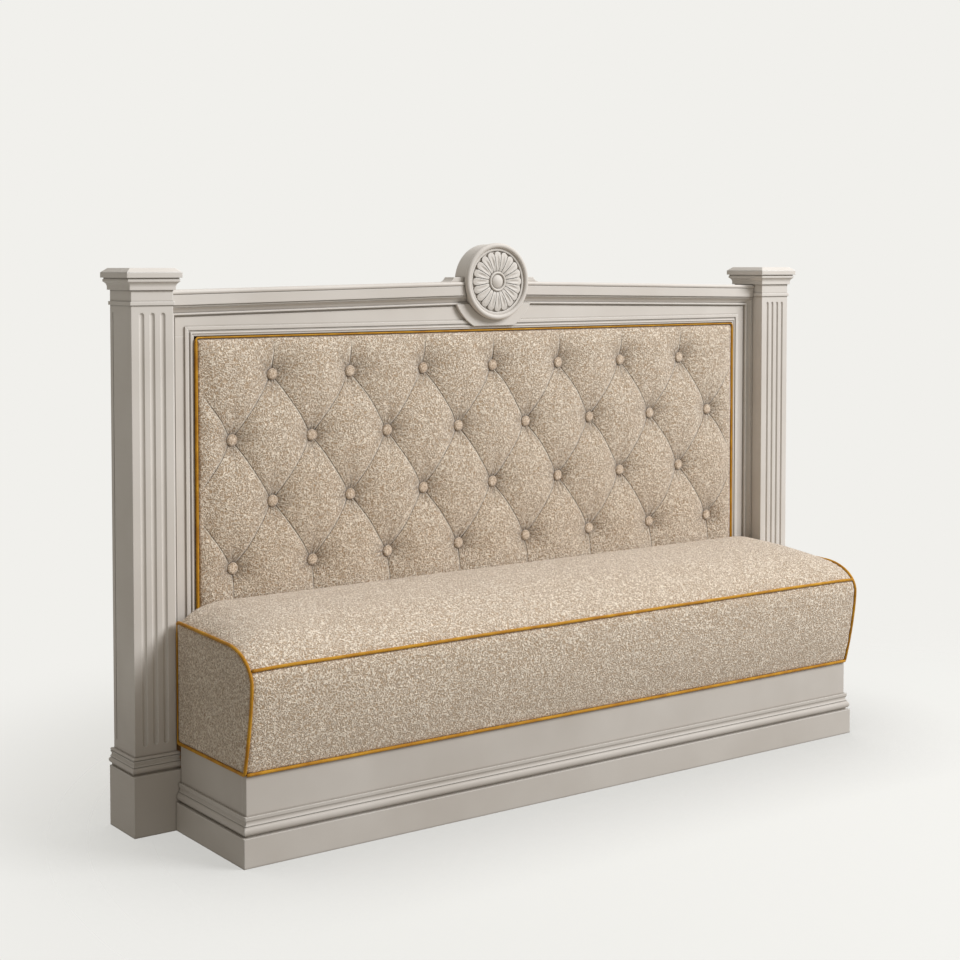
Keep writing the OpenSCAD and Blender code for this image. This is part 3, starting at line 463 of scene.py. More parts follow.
def makePaint():
    material, tree, surface, position = newMaterial("ivoryPaint")
    film = placeGroup(tree, sprayedFilm, {"Position": position})
    feeds = {"Radius": paintLook["edgeRadius"], "Reach": paintLook["cornerReach"]}
    edges = placeGroup(tree, edgesAndCorners, feeds)
    tone = remap(tree, film.outputs["Tone"], 0.35, 0.65)
    body = blendColour(tree, tone, paintLook["deep"], paintLook["body"])
    # painted highlight: the arrises take a paler colour for the light they catch
    edgeHighlighted = blendBy(tree, edges.outputs["Edge"], paintLook["edgeShare"], body, paintLook["edge"])
    # painted shade: corners and recesses take a darker colour
    cornerShaded = blendBy(tree, edges.outputs["Corner"], paintLook["cornerShare"], edgeHighlighted, paintLook["corner"])
    # painted shade: darker towards the floor
    height = addNode(tree, "ShaderNodeSeparateXYZ", {"Vector": position}).outputs["Z"]
    wander = paintLook["lowShadeWander"]
    wander = remap(tree, film.outputs["Tone"], 0.3, 0.7, -wander, wander)
    level = calc(tree, "ADD", height, wander)
    lowShade = remap(tree, level, paintLook["lowShadeTo"], paintLook["lowShadeFrom"], 1.0, 0.0, smooth=True)
    lowShaded = blendColour(tree, lowShade, cornerShaded, paintLook["lowShadeTone"], mode="MULTIPLY")
    dull = remap(tree, film.outputs["Dull"], 0.0, 1.0, *paintLook["roughness"])
    relief = {"Height": film.outputs["Height"], "Distance": paintLook["peelDepth"],
              "Normal": edges.outputs["Normal"]}
    endMaterial(tree, surface, lowShaded, dull, relief, {"Specular IOR Level": 0.3})
    return material


boucleLook = {
    "tip": colour(255, 244, 226),
    "body": colour(239, 218, 193),
    "valley": colour(170, 141, 108),
    "crease": colour(112, 92, 70),
    "curl": 0.0048,
    "depth": 0.0023,
    "foldWidth": (0.2, 1.7),
    "foldHeight": -0.0030,
    "foldShade": 0.75,
    "lipOffset": 2.6,
    "lipWidth": 1.9,
    "lipHeight": 0.0010,
    "lipHighlight": 0.7,
    "gatherHeight": 0.0026,
    "gatherShade": 0.6,
    "dimpleShade": 0.42,
    # painted shade, darker low on the pad
    "lowClothShadeTone": (0.93, 0.915, 0.895, 1),
    "lowClothShadeFrom": 0.95,
    "lowClothShadeTo": 0.50,
}
buttonLook = {
    "curl": 0.0036,
    "depth": 0.0006,
    "tone": (0.87, 0.84, 0.82, 1),
    "ringAt": 0.74,
    "ringWidth": 0.13,
    "ringShade": 0.55,
    "skirt": (0.86, 0.98),
    "skirtShade": 0.8,
}


def makeBoucle(name, curl, depth, tufted=False, rimmed=False):
    material, tree, surface, position = newMaterial(name)
    yarn = placeGroup(tree, curledYarn, {"Position": position, "Curl Size": curl})
    tone = yarn.outputs["Tone"]
    # painted shade: the gaps between the loops take the darker valley colour
    low = blendColour(tree, remap(tree, tone, 0.08, 0.45), boucleLook["valley"], boucleLook["body"])
    cover = blendColour(tree, remap(tree, tone, 0.45, 0.95), low, boucleLook["tip"])
    height = calc(tree, "MULTIPLY", yarn.outputs["Height"], depth)
    if tufted:
        # fold lines and gathers, from distances kept on the cover in millimetres
        across = attributeValue(tree, "pleatAcross")
        strength = attributeValue(tree, "pleatStrength")
        gather = attributeValue(tree, "gather")
        fold = remap(tree, calc(tree, "ABSOLUTE", across), *boucleLook["foldWidth"], 1.0, 0.0, smooth=True)
        beside = calc(tree, "ABSOLUTE", calc(tree, "ADD", across, boucleLook["lipOffset"]))
        lip = remap(tree, beside, 0.0, boucleLook["lipWidth"], 1.0, 0.0, smooth=True)
        fold = calc(tree, "MULTIPLY", fold, strength)
        lip = calc(tree, "MULTIPLY", lip, strength)
        for mask, rise in ((fold, "foldHeight"), (lip, "lipHeight"), (gather, "gatherHeight")):
            height = calc(tree, "ADD", height, calc(tree, "MULTIPLY", mask, boucleLook[rise]))
        # painted shade along each fold line, and a painted highlight on the lip beside it
        cover = blendBy(tree, fold, boucleLook["foldShade"], cover, boucleLook["crease"])
        cover = blendBy(tree, lip, boucleLook["lipHighlight"], cover, boucleLook["tip"])
        # painted shade in the troughs of the gathers round each button
        dip = remap(tree, gather, -1.0, -0.1, boucleLook["gatherShade"], 0.0)
        cover = blendColour(tree, dip, cover, boucleLook["crease"])
        # painted shade round each button
        dimple = attributeValue(tree, "dimple")
        cover = blendBy(tree, dimple, boucleLook["dimpleShade"], cover, boucleLook["crease"])
        # painted shade: a little darker low down, near the seat
        level = addNode(tree, "ShaderNodeSeparateXYZ", {"Vector": position}).outputs["Z"]
        lowClothShade = remap(tree, level, boucleLook["lowClothShadeTo"], boucleLook["lowClothShadeFrom"], 1.0, 0.0, smooth=True)
        cover = blendColour(tree, lowClothShade, cover, boucleLook["lowClothShadeTone"], mode="MULTIPLY")
    if rimmed:
        # painted shade: a dark ring and a darker skirt round the rim of a button; the whole button is a
        # little darker too
        rim = attributeValue(tree, "rimShare")
        offRing = calc(tree, "ABSOLUTE", calc(tree, "SUBTRACT", rim, buttonLook["ringAt"]))
        ring = remap(tree, offRing, 0.0, buttonLook["ringWidth"], buttonLook["ringShade"], 0.0, smooth=True)
        skirt = remap(tree, rim, *buttonLook["skirt"], 0.0, buttonLook["skirtShade"], smooth=True)
        cover = blendColour(tree, 1.0, cover, buttonLook["tone"], mode="MULTIPLY")
        cover = blendColour(tree, calc(tree, "MAXIMUM", ring, skirt), cover, boucleLook["crease"])
    dull = remap(tree, tone, 0.0, 1.0, 0.98, 0.82)
    relief = {"Height": height, "Distance": 1.0, "Strength": 0.9}
    fixed = {"Sheen Weight": 0.45, "Sheen Roughness": 0.6, "Specular IOR Level": 0.2}
    endMaterial(tree, surface, cover, dull, relief, fixed)
    return material


pipingLook = {
    "light": colour(212, 156, 34),
    "body": colour(180, 122, 12),
    "dark": colour(116, 74, 5),
    "thread": 0.0011,
    "threadTurn": (0.6, 0.5, 0.78),
    "threadHeight": 0.00018,
    "creaseHeight": 0.0007,
}
bandSpan = 0.314  # a wave texture of scale 1 repeats after this length


def makePiping():
    material, tree, surface, position = newMaterial("goldPiping")
    turn = {"Vector": position, "Rotation": pipingLook["threadTurn"]}
    turned = addNode(tree, "ShaderNodeMapping", turn).outputs[0]
    bands = {"Vector": turned, "Scale": bandSpan / pipingLook["thread"], "Distortion": 1.2,
             "Detail": 1.0, "Detail Scale": 1.0}
    rib = addNode(tree, "ShaderNodeTexWave", bands, wave_type="BANDS").outputs["Fac"]
    slow = noiseTexture(tree, position, 26.0, detail=3.0).outputs["Fac"]
    crease = noiseTexture(tree, position, 150.0, detail=2.0, distortion=1.0).outputs["Fac"]
    body = blendColour(tree, remap(tree, slow, 0.35, 0.65), pipingLook["body"], pipingLook["light"])
    woven = blendColour(tree, remap(tree, rib, 0.0, 0.6, 0.55, 0.0), body, pipingLook["dark"])
    dull = remap(tree, rib, 0.0, 1.0, 0.75, 0.5)
    threads = calc(tree, "MULTIPLY", rib, pipingLook["threadHeight"])
    height = calc(tree, "ADD", threads, calc(tree, "MULTIPLY", crease, pipingLook["creaseHeight"]))
    relief = {"Height": height, "Distance": 1.0}
    endMaterial(tree, surface, woven, dull, relief, {"Sheen Weight": 0.06, "Specular IOR Level": 0.25})
    return material


timberLooks = {
    "plywood": {"light": colour(214, 187, 149), "dark": colour(190, 158, 116), "roughness": 0.62},
    "softwood": {"light": colour(219, 192, 150), "dark": colour(184, 148, 104), "roughness": 0.68},
}


def makeTimber(name):
    look = timberLooks[name]
    material, tree, surface, position = newMaterial(name + "Raw")
    grain = placeGroup(tree, rawGrain, {"Position": position})
    edges = placeGroup(tree, edgesAndCorners, {"Radius": 0.001, "Reach": 0.01})
    rings = remap(tree, grain.outputs["Rings"], 0.30, 0.70)
    body = blendColour(tree, rings, look["light"], look["dark"])
    pores = remap(tree, grain.outputs["Pores"], 0.55, 0.8, 0.0, 0.35)
    body = blendColour(tree, pores, body, look["dark"])
    # painted shade: corners and recesses darker
    body = blendBy(tree, edges.outputs["Corner"], 0.5, body, look["dark"])
    dull = remap(tree, grain.outputs["Pores"], 0.2, 0.8, look["roughness"], look["roughness"] + 0.15)
    relief = {"Height": grain.outputs["Pores"], "Distance": 0.0002, "Normal": edges.outputs["Normal"]}
    endMaterial(tree, surface, body, dull, relief)
    return material


twineLook = {"light": colour(228, 220, 200), "dark": colour(168, 156, 130), "strandScale": 220.0}


def makeTwine():
    material, tree, surface, position = newMaterial("waxedTwine")
    bands = {"Vector": position, "Scale": twineLook["strandScale"], "Distortion": 2.0}
    strands = addNode(tree, "ShaderNodeTexWave", bands, bands_direction="DIAGONAL").outputs["Fac"]
    body = blendColour(tree, strands, twineLook["dark"], twineLook["light"])
    dull = remap(tree, strands, 0.0, 1.0, 0.8, 0.6)
    endMaterial(tree, surface, body, dull, {"Height": strands, "Distance": 0.0004})
    return material


ivoryPaint = makePaint()
seatBoucle = makeBoucle("seatBoucle", boucleLook["curl"], boucleLook["depth"])
padBoucle = makeBoucle("padBoucle", boucleLook["curl"], boucleLook["depth"], tufted=True)
buttonBoucle = makeBoucle("buttonBoucle", buttonLook["curl"], buttonLook["depth"], rimmed=True)
goldPiping = makePiping()
finishes = {
    "painted_wood": ivoryPaint,
    "boucle_fabric": seatBoucle,
    "gold_piping": goldPiping,
    "plywood": makeTimber("plywood"),
    "softwood": makeTimber("softwood"),
    "twine": makeTwine(),
}
for node in nodes.values():
    for place in node.material_slots:
        place.material = finishes[place.material.name.split(".")[0]]
print("finishes made")


def dress(piece, material, slotName, *standsFor):
    piece.data.materials.clear()
    piece.data.materials.append(material)
    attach(piece, "root")
    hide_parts(*standsFor)


# Seat: a stuffed cushion with a rolled front edge and sewn-in ends

seat = {
    "halfLength": 0.890,
    "bottom": 0.1883,
    "height": 0.457,
    "fall": 0.007,
    "reach": 0.348,
    "rearGap": 0.007,
    "crown": 0.037,
    "crownPower": 1.6,
    "stuffingRise": 0.003,
    "frontRound": (0.112, 0.070),
    "frontDraw": 0.032,
    "drawPower": 1.5,
    "frontBulge": 0.003,
    "rearBulge": 0.012,
    "rearClimb": 1.5,
    "rearRound": 0.010,
    "footRound": 0.008,
    "endChamfer": 0.009,
    "endRoll": 0.120,
    "endPower": 2.7,
    "endPuff": 0.003,
    "endRings": 14,
    "endCore": 0.97,
    "seamAngle": 156,
    "seamWidth": 0.0072,
    "seamDepth": 0.0035,
    "seamSwell": 0.9,
    "spacing": 0.012,
    "lump": 0.0014,
    "lumpSizes": (0.16, 0.06),
    "pucker": 0.0007,
    "puckerPitch": 0.021,
    "endPuckerPitch": 0.026,
    "puckerFrom": 0.006,
    "puckerReach": 0.016,
}
seatCloth = {
    "pressure": 4.0,
    "frames": 20,
    "quality": 4,
    "mass": 0.25,
    "stretch": 14,
    "shear": 6,
    "bend": 0.6,
    "cap": 0.005,
    "held": {"ends": 0.008, "seam": 0.006, "foot": 0.010, "rear": 0.002},
    "letGo": 0.03,
}

roundHeight = seat["height"] - seat["fall"] - seat["frontRound"][1]
roundCentre = (seat["frontRound"][0] - seat["reach"], roundHeight)
seatRear = -seat["rearGap"]
footLine = (seat["frontDraw"] - seat["reach"], seat["bottom"] + seat["footRound"])


def arcPoint(centre, radii, degrees):
    angle = math.radians(degrees)
    return centre[0] + radii[0] * math.cos(angle), centre[1] + radii[1] * math.sin(angle)


def rearSide(y, z):
    # y, z, then how much of the crown, the front's and the rear's swelling the point takes
    t = (z - seat["bottom"]) / (seat["height"] - seat["bottom"])
    return y, z, t * t, 0, math.sin(math.radians(90 * min(1, seat["rearClimb"] * t)))


def topSide(y, z):
    depth = seat["reach"] - seat["rearGap"]
    u = min(1, max(0, (seatRear - y) / depth))
    push = max(0, 1 - (y + seat["reach"]) / seat["frontRound"][0])
    return y, z, math.cos(math.radians(90 * u ** seat["crownPower"])), push, max(0, 1 - 3 * u)


def frontSide(t):
    y = seat["frontDraw"] * t ** seat["drawPower"] - seat["reach"]
    z = roundCentre[1] + (footLine[1] - roundCentre[1]) * t
    return y, z, 0, math.cos(math.radians(90 * t * t)), 0


def seatSection(spacing):
    # drawn finely all round from the rear foot, then cut into even steps
    foot, edge = seat["footRound"], seat["rearRound"]
    turn, fineTurn, sideSteps, topSteps = 15, 3, 24, 30
    footCentre = (seatRear - foot, footLine[1])
    points = [rearSide(*arcPoint(footCentre, (foot, foot), a)) for a in range(-90, 1, turn)]
    rise = seat["height"] - edge - footLine[1]
    points += [rearSide(seatRear, footLine[1] + rise * i / sideSteps) for i in range(1, sideSteps)]
    corner = (seatRear - edge, seat["height"] - edge)
    points += [rearSide(*arcPoint(corner, (edge, edge), a)) for a in range(0, 91, turn)]
    for i in range(1, topSteps):
        t = i / topSteps
        y = (seatRear - edge) * (1 - t) + roundCentre[0] * t
        points.append(topSide(y, seat["height"] - seat["fall"] * t))
    points += [topSide(*arcPoint(roundCentre, seat["frontRound"], a)) for a in range(90, 180, fineTurn)]
    points += [frontSide(i / sideSteps) for i in range(sideSteps + 1)]
    footCentre = (footLine[0] + foot, footLine[1])
    points += [arcPoint(footCentre, (foot, foot), a) + (0, 0, 0) for a in range(195, 271, turn)]
    points = np.array(points)
    ends = np.vstack([points, points[:1]])
    run = np.concatenate([[0], np.cumsum(np.linalg.norm(np.diff(ends[:, :2], axis=0), axis=1))])
    count = int(round(run[-1] / spacing))
    steps = np.linspace(0, run[-1], count + 1)
    return np.column_stack([np.interp(steps, run, ends[:, k]) for k in range(5)])


def inwardOf(section):
    # section's last point repeats its first
    ring = section[:-1, :2]
    along = np.roll(ring, -1, axis=0) - np.roll(ring, 1, axis=0)
    into = np.column_stack([-along[:, 1], along[:, 0]])
    into /= np.linalg.norm(into, axis=1, keepdims=True)
    return np.vstack([into, into[:1]])


def swellShare(fromEnd):
    share = np.clip((fromEnd - seat["endChamfer"]) / seat["endRoll"], 0, 1)
    return 1 - (1 - share) ** seat["endPower"]


seamSpot = arcPoint(roundCentre, seat["frontRound"], seat["seamAngle"])


def makeSeat():
    section = seatSection(seat["spacing"])
    into = inwardOf(section)
    middle = section[:-1, :2].mean(axis=0)
    half, chamfer = seat["halfLength"], seat["endChamfer"]
    inner = np.arange(chamfer + seat["spacing"], half, seat["spacing"])
    fromEnds = np.concatenate([[0, chamfer / 2, chamfer], inner])
    shrinks = np.linspace(0, seat["endCore"], seat["endRings"])
    stations = [(-half - seat["endPuff"] * (1 - s ** 2), s, 0.0) for s in shrinks]
    stations += [(-half + d, 1.0, d) for d in fromEnds]
    stations += [(0.0, 1.0, half)]
    stations += [(half - d, 1.0, d) for d in fromEnds[::-1]]
    stations += [(half + seat["endPuff"] * (1 - s ** 2), s, 0.0) for s in shrinks[::-1]]
    x, shrink, fromEnd = np.array(stations).T
    piece, column, row = clothGrid("seatCushion", len(stations), len(section))
    s = swellShare(fromEnd)[column]
    sink = np.maximum(0, chamfer - fromEnd)[column]
    p, n = section[row], into[row]
    share = shrink[column][:, None]
    y = p[:, 0] + n[:, 0] * sink - seat["frontBulge"] * p[:, 3] * s + seat["rearBulge"] * p[:, 4] * s
    z = p[:, 1] + n[:, 1] * sink + (seat["crown"] - seat["stuffingRise"]) * p[:, 2] * s
    flat = np.column_stack([y, z])
    flat = middle + (flat - middle) * share
    points = np.column_stack([x[column], flat[:, 0] + postFront, flat[:, 1]])
    writePoints(piece, points)
    sewShut(piece)
    points = readPoints(piece)
    fromEnd = half - np.abs(points[:, 0])
    away = {
        "ends": np.abs(fromEnd - chamfer / 2),
        "seam": np.hypot(points[:, 1] - postFront - seamSpot[0], points[:, 2] - seamSpot[1]),
        "foot": points[:, 2] - seat["bottom"],
        "rear": postFront + seatRear - points[:, 1],
    }
    sewn = np.zeros(len(points))
    for place, close in seatCloth["held"].items():
        sewn = np.maximum(sewn, holdNear(away[place], close, seatCloth["letGo"]))
    stuff(piece, sewn, seatCloth)
    subdivideOnce(piece)
    # lumps of the stuffing, seam groove and the puckers beside it
    points = readPoints(piece)
    out = readPoints(piece, "normal")
    fromEnd = half - np.abs(points[:, 0])
    s = swellShare(fromEnd)
    seamY = postFront + seamSpot[0] - seat["frontBulge"] * s * seat["seamSwell"]
    spot = np.hypot(points[:, 1] - seamY, points[:, 2] - seamSpot[1])
    inside = np.clip(fromEnd / 0.02, 0, 1)
    groove = np.clip(1 - spot / seat["seamWidth"], 0, 1) * seat["seamDepth"] * inside
    nearest = np.minimum(spot, np.abs(fromEnd) + 0.002)
    nearSeam = np.exp(-(np.maximum(0, nearest - seat["puckerFrom"]) / seat["puckerReach"]) ** 2)
    along = points[:, 0] * 2 * math.pi / seat["puckerPitch"]
    alongEnd = (points[:, 1] + points[:, 2]) * 2 * math.pi / seat["endPuckerPitch"]
    wave = np.sin(along + roughField(points, 0.05, seed=3.1) * 3)
    waveEnd = np.sin(alongEnd + roughField(points, 0.05, seed=5.3) * 3)
    wave = np.where(spot < np.abs(fromEnd), wave, waveEnd)
    large, small = seat["lumpSizes"]
    lump = roughField(points, large, seed=1.3) + 0.5 * roughField(points, small, seed=2.3)
    free = np.clip((points[:, 2] - seat["bottom"]) / 0.03, 0, 1)
    free = free * np.clip((postFront - 0.012 - points[:, 1]) / 0.02, 0, 1)
    amount = lump * seat["lump"] * free + wave * nearSeam * seat["pucker"] * free - groove
    writePoints(piece, points + out * amount[:, None])
    makeActive(piece)
    bpy.ops.object.shade_smooth()
    dress(piece, seatBoucle, "boucle_fabric", "seat_cushion")
    print("seat made,", len(piece.data.polygons), "faces")


makeSeat()


# Padded back: diamond tufting between four rows of buttons

pad = {
    "halfWidth": 0.8091,
    "bottom": 0.4203,
    "top": 1.0653,
    "buttonDepth": 0.058,
    "edgeDepth": 0.039,
    "rearDepth": 0.0797,
    "pitch": 0.2069,
    "rowPitch": 0.1445,
    "topRow": 0.9819,
    "rows": 4,
    "topRowButtons": 7,
    "puff": 0.035,
    "pleat": 0.022,
    "pleatPower": 0.52,
    "puffPower": 0.45,
    "edgeRoll": 0.062,
    "rollPower": 2.4,
    "rimMargin": 0.004,
    "cells": 16,
    "stray": 0.0028,
    "buttonHold": 0.012,
    "risingFold": 0.8,
    "uprightFold": 0.95,
    "uprightFrom": 0.03,
    "uprightFade": 0.09,
    "rays": 15,
    "rayReach": (0.020, 0.010),
    "dimpleFade": 0.020,
    "lump": 0.0014,
    "groove": 0.0012,
}
padCloth = {
    "pressure": 3.0,
    "frames": 16,
    "quality": 4,
    "mass": 0.25,
    "stretch": 12,
    "shear": 6,
    "bend": 0.4,
    "cap": 0.004,
    "foldHold": 0.7,
}


def fold(value):
    return np.abs(np.sin(math.pi * value))


def lattice(x, z):
    return x / (pad["pitch"] / 2), (z - pad["topRow"]) / pad["rowPitch"]


def tuftHeight(x, z):
    a, b = lattice(x, z)
    last = pad["rows"] - 1
    over, under = b > 0, b < -last
    outside = over | under
    shift = np.where(under, last % 2, 0)
    upright = fold((a - shift) / 2)
    away = np.where(over, b, -last - b)
    climb = np.sin(np.pi / 2 * np.minimum(1, np.maximum(0, away) * 2))
    p = np.where(outside, np.maximum(upright, climb), fold((a + b) / 2))
    q = np.where(outside, np.maximum(upright, climb), fold((a - b) / 2))
    swell = np.where(outside, upright ** 2, p * q)
    ridge = pad["pleat"] * np.maximum(p, q) ** pad["pleatPower"]
    return ridge + (pad["puff"] - pad["pleat"]) * swell ** pad["puffPower"]


def fromPadEdge(x, z):
    return np.minimum(np.minimum(pad["halfWidth"] - np.abs(x), pad["top"] - z), z - pad["bottom"])


def padDepth(x, z):
    roll = 1 - (1 - np.clip(fromPadEdge(x, z) / pad["edgeRoll"], 0, 1)) ** pad["rollPower"]
    edgeHeight = pad["buttonDepth"] - pad["edgeDepth"]
    return pad["buttonDepth"] - edgeHeight - (tuftHeight(x, z) - edgeHeight) * roll


def buttonPlaces():
    rows = []
    for r in range(pad["rows"]):
        count = pad["topRowButtons"] + r % 2
        z = pad["topRow"] - r * pad["rowPitch"]
        rows.append([((i - (count - 1) / 2) * pad["pitch"], z) for i in range(count)])
    return rows


def strayed(x, z):
    # hand work: the folds wander a little between the buttons
    places = np.column_stack([x, np.zeros(len(x)), z])
    calm = np.clip((nearestButton(x, z)[0] - pad["buttonHold"]) / 0.04, 0, 1)
    sideways = roughField(places, 0.09, seed=7.7) * pad["stray"] * calm
    upwards = roughField(places, 0.09, seed=9.1) * pad["stray"] * calm
    return x + sideways, z + upwards


def nearestButton(x, z):
    spots = np.array([spot for row in buttonPlaces() for spot in row])
    dx = x[:, None] - spots[:, 0]
    dz = z[:, None] - spots[:, 1]
    far = np.hypot(dx, dz)
    best = far.argmin(axis=1)
    index = np.arange(len(x))
    return far[index, best], dx[index, best], dz[index, best], best


def pleatAcross(x, z):
    # signed distance to the nearest fold line in millimetres, and how deep the fold is
    a, b = lattice(x, z)
    last = pad["rows"] - 1
    slope = math.hypot(2 / pad["pitch"], 1 / pad["rowPitch"])
    rising = (a - b + 1) % 2 - 1
    falling = (a + b + 1) % 2 - 1
    diagonal = np.where(np.abs(falling) < np.abs(rising), falling, rising) / slope * 1000
    shift = np.where(b < -last, last % 2, 0)
    upright = ((a - shift + 1) % 2 - 1) * pad["pitch"] / 2 * 1000
    inside = (b <= 0) & (b >= -last)
    away = np.maximum(b, -last - b) * pad["rowPitch"]
    slanting = np.where(np.abs(falling) < np.abs(rising), 1.0, pad["risingFold"])
    fade = np.exp(-np.maximum(0, away - pad["uprightFrom"]) / pad["uprightFade"])
    strength = np.where(inside, slanting, pad["uprightFold"] * fade)
    return np.where(inside, diagonal, upright), strength


def closeBack(piece):
    # one flat face against the board
    makeActive(piece)
    bpy.ops.object.mode_set(mode="EDIT")
    bpy.ops.mesh.select_mode(type="EDGE")
    bpy.ops.mesh.select_all(action="DESELECT")
    bpy.ops.mesh.select_non_manifold(use_wire=False, use_multi_face=False, use_non_contiguous=False,
                                     use_verts=False)
    bpy.ops.mesh.edge_face_add()
    bpy.ops.mesh.select_all(action="SELECT")
    bpy.ops.mesh.normals_make_consistent(inside=False)
    bpy.ops.object.mode_set(mode="OBJECT")


def makePad():
    margin = pad["rimMargin"]
    stepX, stepZ = pad["pitch"] / 2 / pad["cells"], pad["rowPitch"] / pad["cells"]
    half = int((pad["halfWidth"] - margin) / stepX)
    xs = np.concatenate([[-pad["halfWidth"]], np.arange(-half, half + 1) * stepX, [pad["halfWidth"]]])
    below = int((pad["topRow"] - pad["bottom"] - margin) / stepZ)
    above = int((pad["top"] - pad["topRow"] - margin) / stepZ)
    inner = pad["topRow"] + np.arange(-below, above + 1) * stepZ
    zs = np.concatenate([[pad["bottom"]], inner, [pad["top"]]])
    # more lines on each side run back to the board
    returns = (1.0, 0.75, 0.5, 0.25)
    more = len(returns)
    backX = np.concatenate([returns, np.zeros(len(xs)), returns[::-1]])
    backZ = np.concatenate([returns, np.zeros(len(zs)), returns[::-1]])
    xs = np.concatenate([[xs[0]] * more, xs, [xs[-1]] * more])
    zs = np.concatenate([[zs[0]] * more, zs, [zs[-1]] * more])
    piece, column, row = clothGrid("backPad", len(xs), len(zs))
    x, z = xs[column], zs[row]
    back = np.maximum(backX[column], backZ[row])
    x2, z2 = strayed(x, z)
    x2 = np.clip(x2, -pad["halfWidth"], pad["halfWidth"])
    z2 = np.clip(z2, pad["bottom"], pad["top"])
    depth = np.where(fromPadEdge(x, z) < 1e-6, pad["edgeDepth"], padDepth(x2, z2))
    depth = depth + (pad["rearDepth"] - depth) * back
    writePoints(piece, np.column_stack([x, depth + postFront, z]))
    sewShut(piece)
    points = readPoints(piece)
    x, z = points[:, 0], points[:, 2]
    across, strength = pleatAcross(x, z)
    far = nearestButton(x, z)[0]
    sewn = holdNear(far, pad["buttonHold"], 0.014)
    sewn = np.maximum(sewn, padCloth["foldHold"] * strength * holdNear(np.abs(across), 0, 8))
    sewn = np.maximum(sewn, holdNear(fromPadEdge(x, z), 0, 0.012))
    stuff(piece, sewn, padCloth)
    subdivideOnce(piece)
    closeBack(piece)
    points = readPoints(piece)
    x2, z2 = strayed(points[:, 0], points[:, 2])
    across, strength = pleatAcross(x2, z2)
    far, dx, dz, which = nearestButton(points[:, 0], points[:, 2])
    edge = fromPadEdge(points[:, 0], points[:, 2])
    front = np.clip(edge / 0.006, 0, 1)
    strength = strength * np.clip(edge / 0.03, 0, 1)
    # gathers give bumps and the mask for painted shade in their troughs; the dimple is a mask for painted
    # shade round each button
    angle = np.arctan2(dz, dx)
    rays = np.sin(angle * pad["rays"] + which * 1.9 + roughField(points, 0.02, seed=4.4) * 2.2)
    middle, sway = pad["rayReach"]
    reach = middle + sway * np.sin(angle * 3 + which)
    gather = rays * np.exp(-np.maximum(0, far - 0.011) / reach) * front
    dimple = np.exp(-(np.maximum(0, far - pad["buttonHold"]) / pad["dimpleFade"]) ** 1.3) * front
    addValues(piece, "pleatAcross", across)
    addValues(piece, "pleatStrength", strength)
    addValues(piece, "gather", gather)
    addValues(piece, "dimple", dimple)
    out = readPoints(piece, "normal")
    lump = roughField(points, 0.07, seed=6.2) * pad["lump"]
    groove = pad["groove"] * np.exp(-(across / 3.0) ** 2) * strength
    amount = (lump * np.clip((far - 0.02) / 0.03, 0, 1) - groove) * front
    writePoints(piece, points + out * amount[:, None])
    makeActive(piece)
    bpy.ops.object.shade_smooth()
    dress(piece, padBoucle, "boucle_fabric", "back_pad")
    print("back pad made,", len(piece.data.polygons), "faces")


makePad()


# Covered buttons

button = {
    "radius": 0.0141,
    "thickness": 0.0078,
    "rim": 0.0030,
    "proud": 0.0016,
    "sides": 28,
    "tilt": 5,
    # each ring's size against the one before, and its share of the rise
    "dome": ((0.94, 0.42), (0.90, 0.26), (0.82, 0.16), (0.72, 0.09), (0.55, 0.07)),
}


def makeButton():
    deselectAll()
    bpy.ops.mesh.primitive_cylinder_add(
        vertices=button["sides"],
        radius=button["radius"],
        depth=button["rim"],
        rotation=(math.radians(90), 0, 0),
        end_fill_type="NGON",
    )
    piece = bpy.context.object
    settle(piece)
    makeActive(piece)
    bpy.ops.object.mode_set(mode="EDIT")
    mesh = bmesh.from_edit_mesh(piece.data)
    bpy.ops.mesh.select_mode(type="FACE")
    for face in mesh.faces:
        face.select = face.normal.y < -0.9
    bmesh.update_edit_mesh(piece.data)
    rise = button["thickness"] - button["rim"]
    for share, lift in button["dome"]:
        bpy.ops.mesh.extrude_region_move(TRANSFORM_OT_translate={"value": (0, -rise * lift, 0)})
        bpy.ops.transform.resize(value=(share, 1, share), center_override=(0, 0, 0))
    bpy.ops.mesh.poke()
    bpy.ops.mesh.select_all(action="SELECT")
    bpy.ops.mesh.normals_make_consistent(inside=False)
    bpy.ops.object.mode_set(mode="OBJECT")
    subdivideOnce(piece)
    bpy.ops.object.shade_smooth()
    points = readPoints(piece)
    addValues(piece, "rimShare", np.hypot(points[:, 0], points[:, 2]) / button["radius"])
    return piece


def makeButtons():
    first = makeButton()
    for r, row in enumerate(buttonPlaces()):
        low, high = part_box("button_row_%d" % (r + 1))
        depth = high.y - button["rim"] / 2 - button["proud"]
        copies = []
        for i, (x, z) in enumerate(row):
            copy = first.copy()
            copy.data = first.data.copy()
            scene.collection.objects.link(copy)
            tilt = noise.noise(Vector((i * 3.3, r * 5.1, 0.5))) * button["tilt"]
            lean = noise.noise(Vector((i * 2.3, r * 4.1, 8.5))) * button["tilt"]
            copy.rotation_euler = [math.radians(angle) for angle in (tilt, i * 47 + r * 31, lean)]
            copy.location = (x, depth, z)
            copies.append(copy)
        makeActive(copies[0])
        for copy in copies[1:]:
            copy.select_set(True)
        bpy.ops.object.join()
        piece = copies[0]
        piece.name = "buttonRow%d" % (r + 1)
        settle(piece)
        dress(piece, buttonBoucle, "boucle_fabric", "button_row_%d" % (r + 1))
    bpy.data.objects.remove(first)
    print("buttons made")


makeButtons()


# Gold piping, a covered cord in every seam

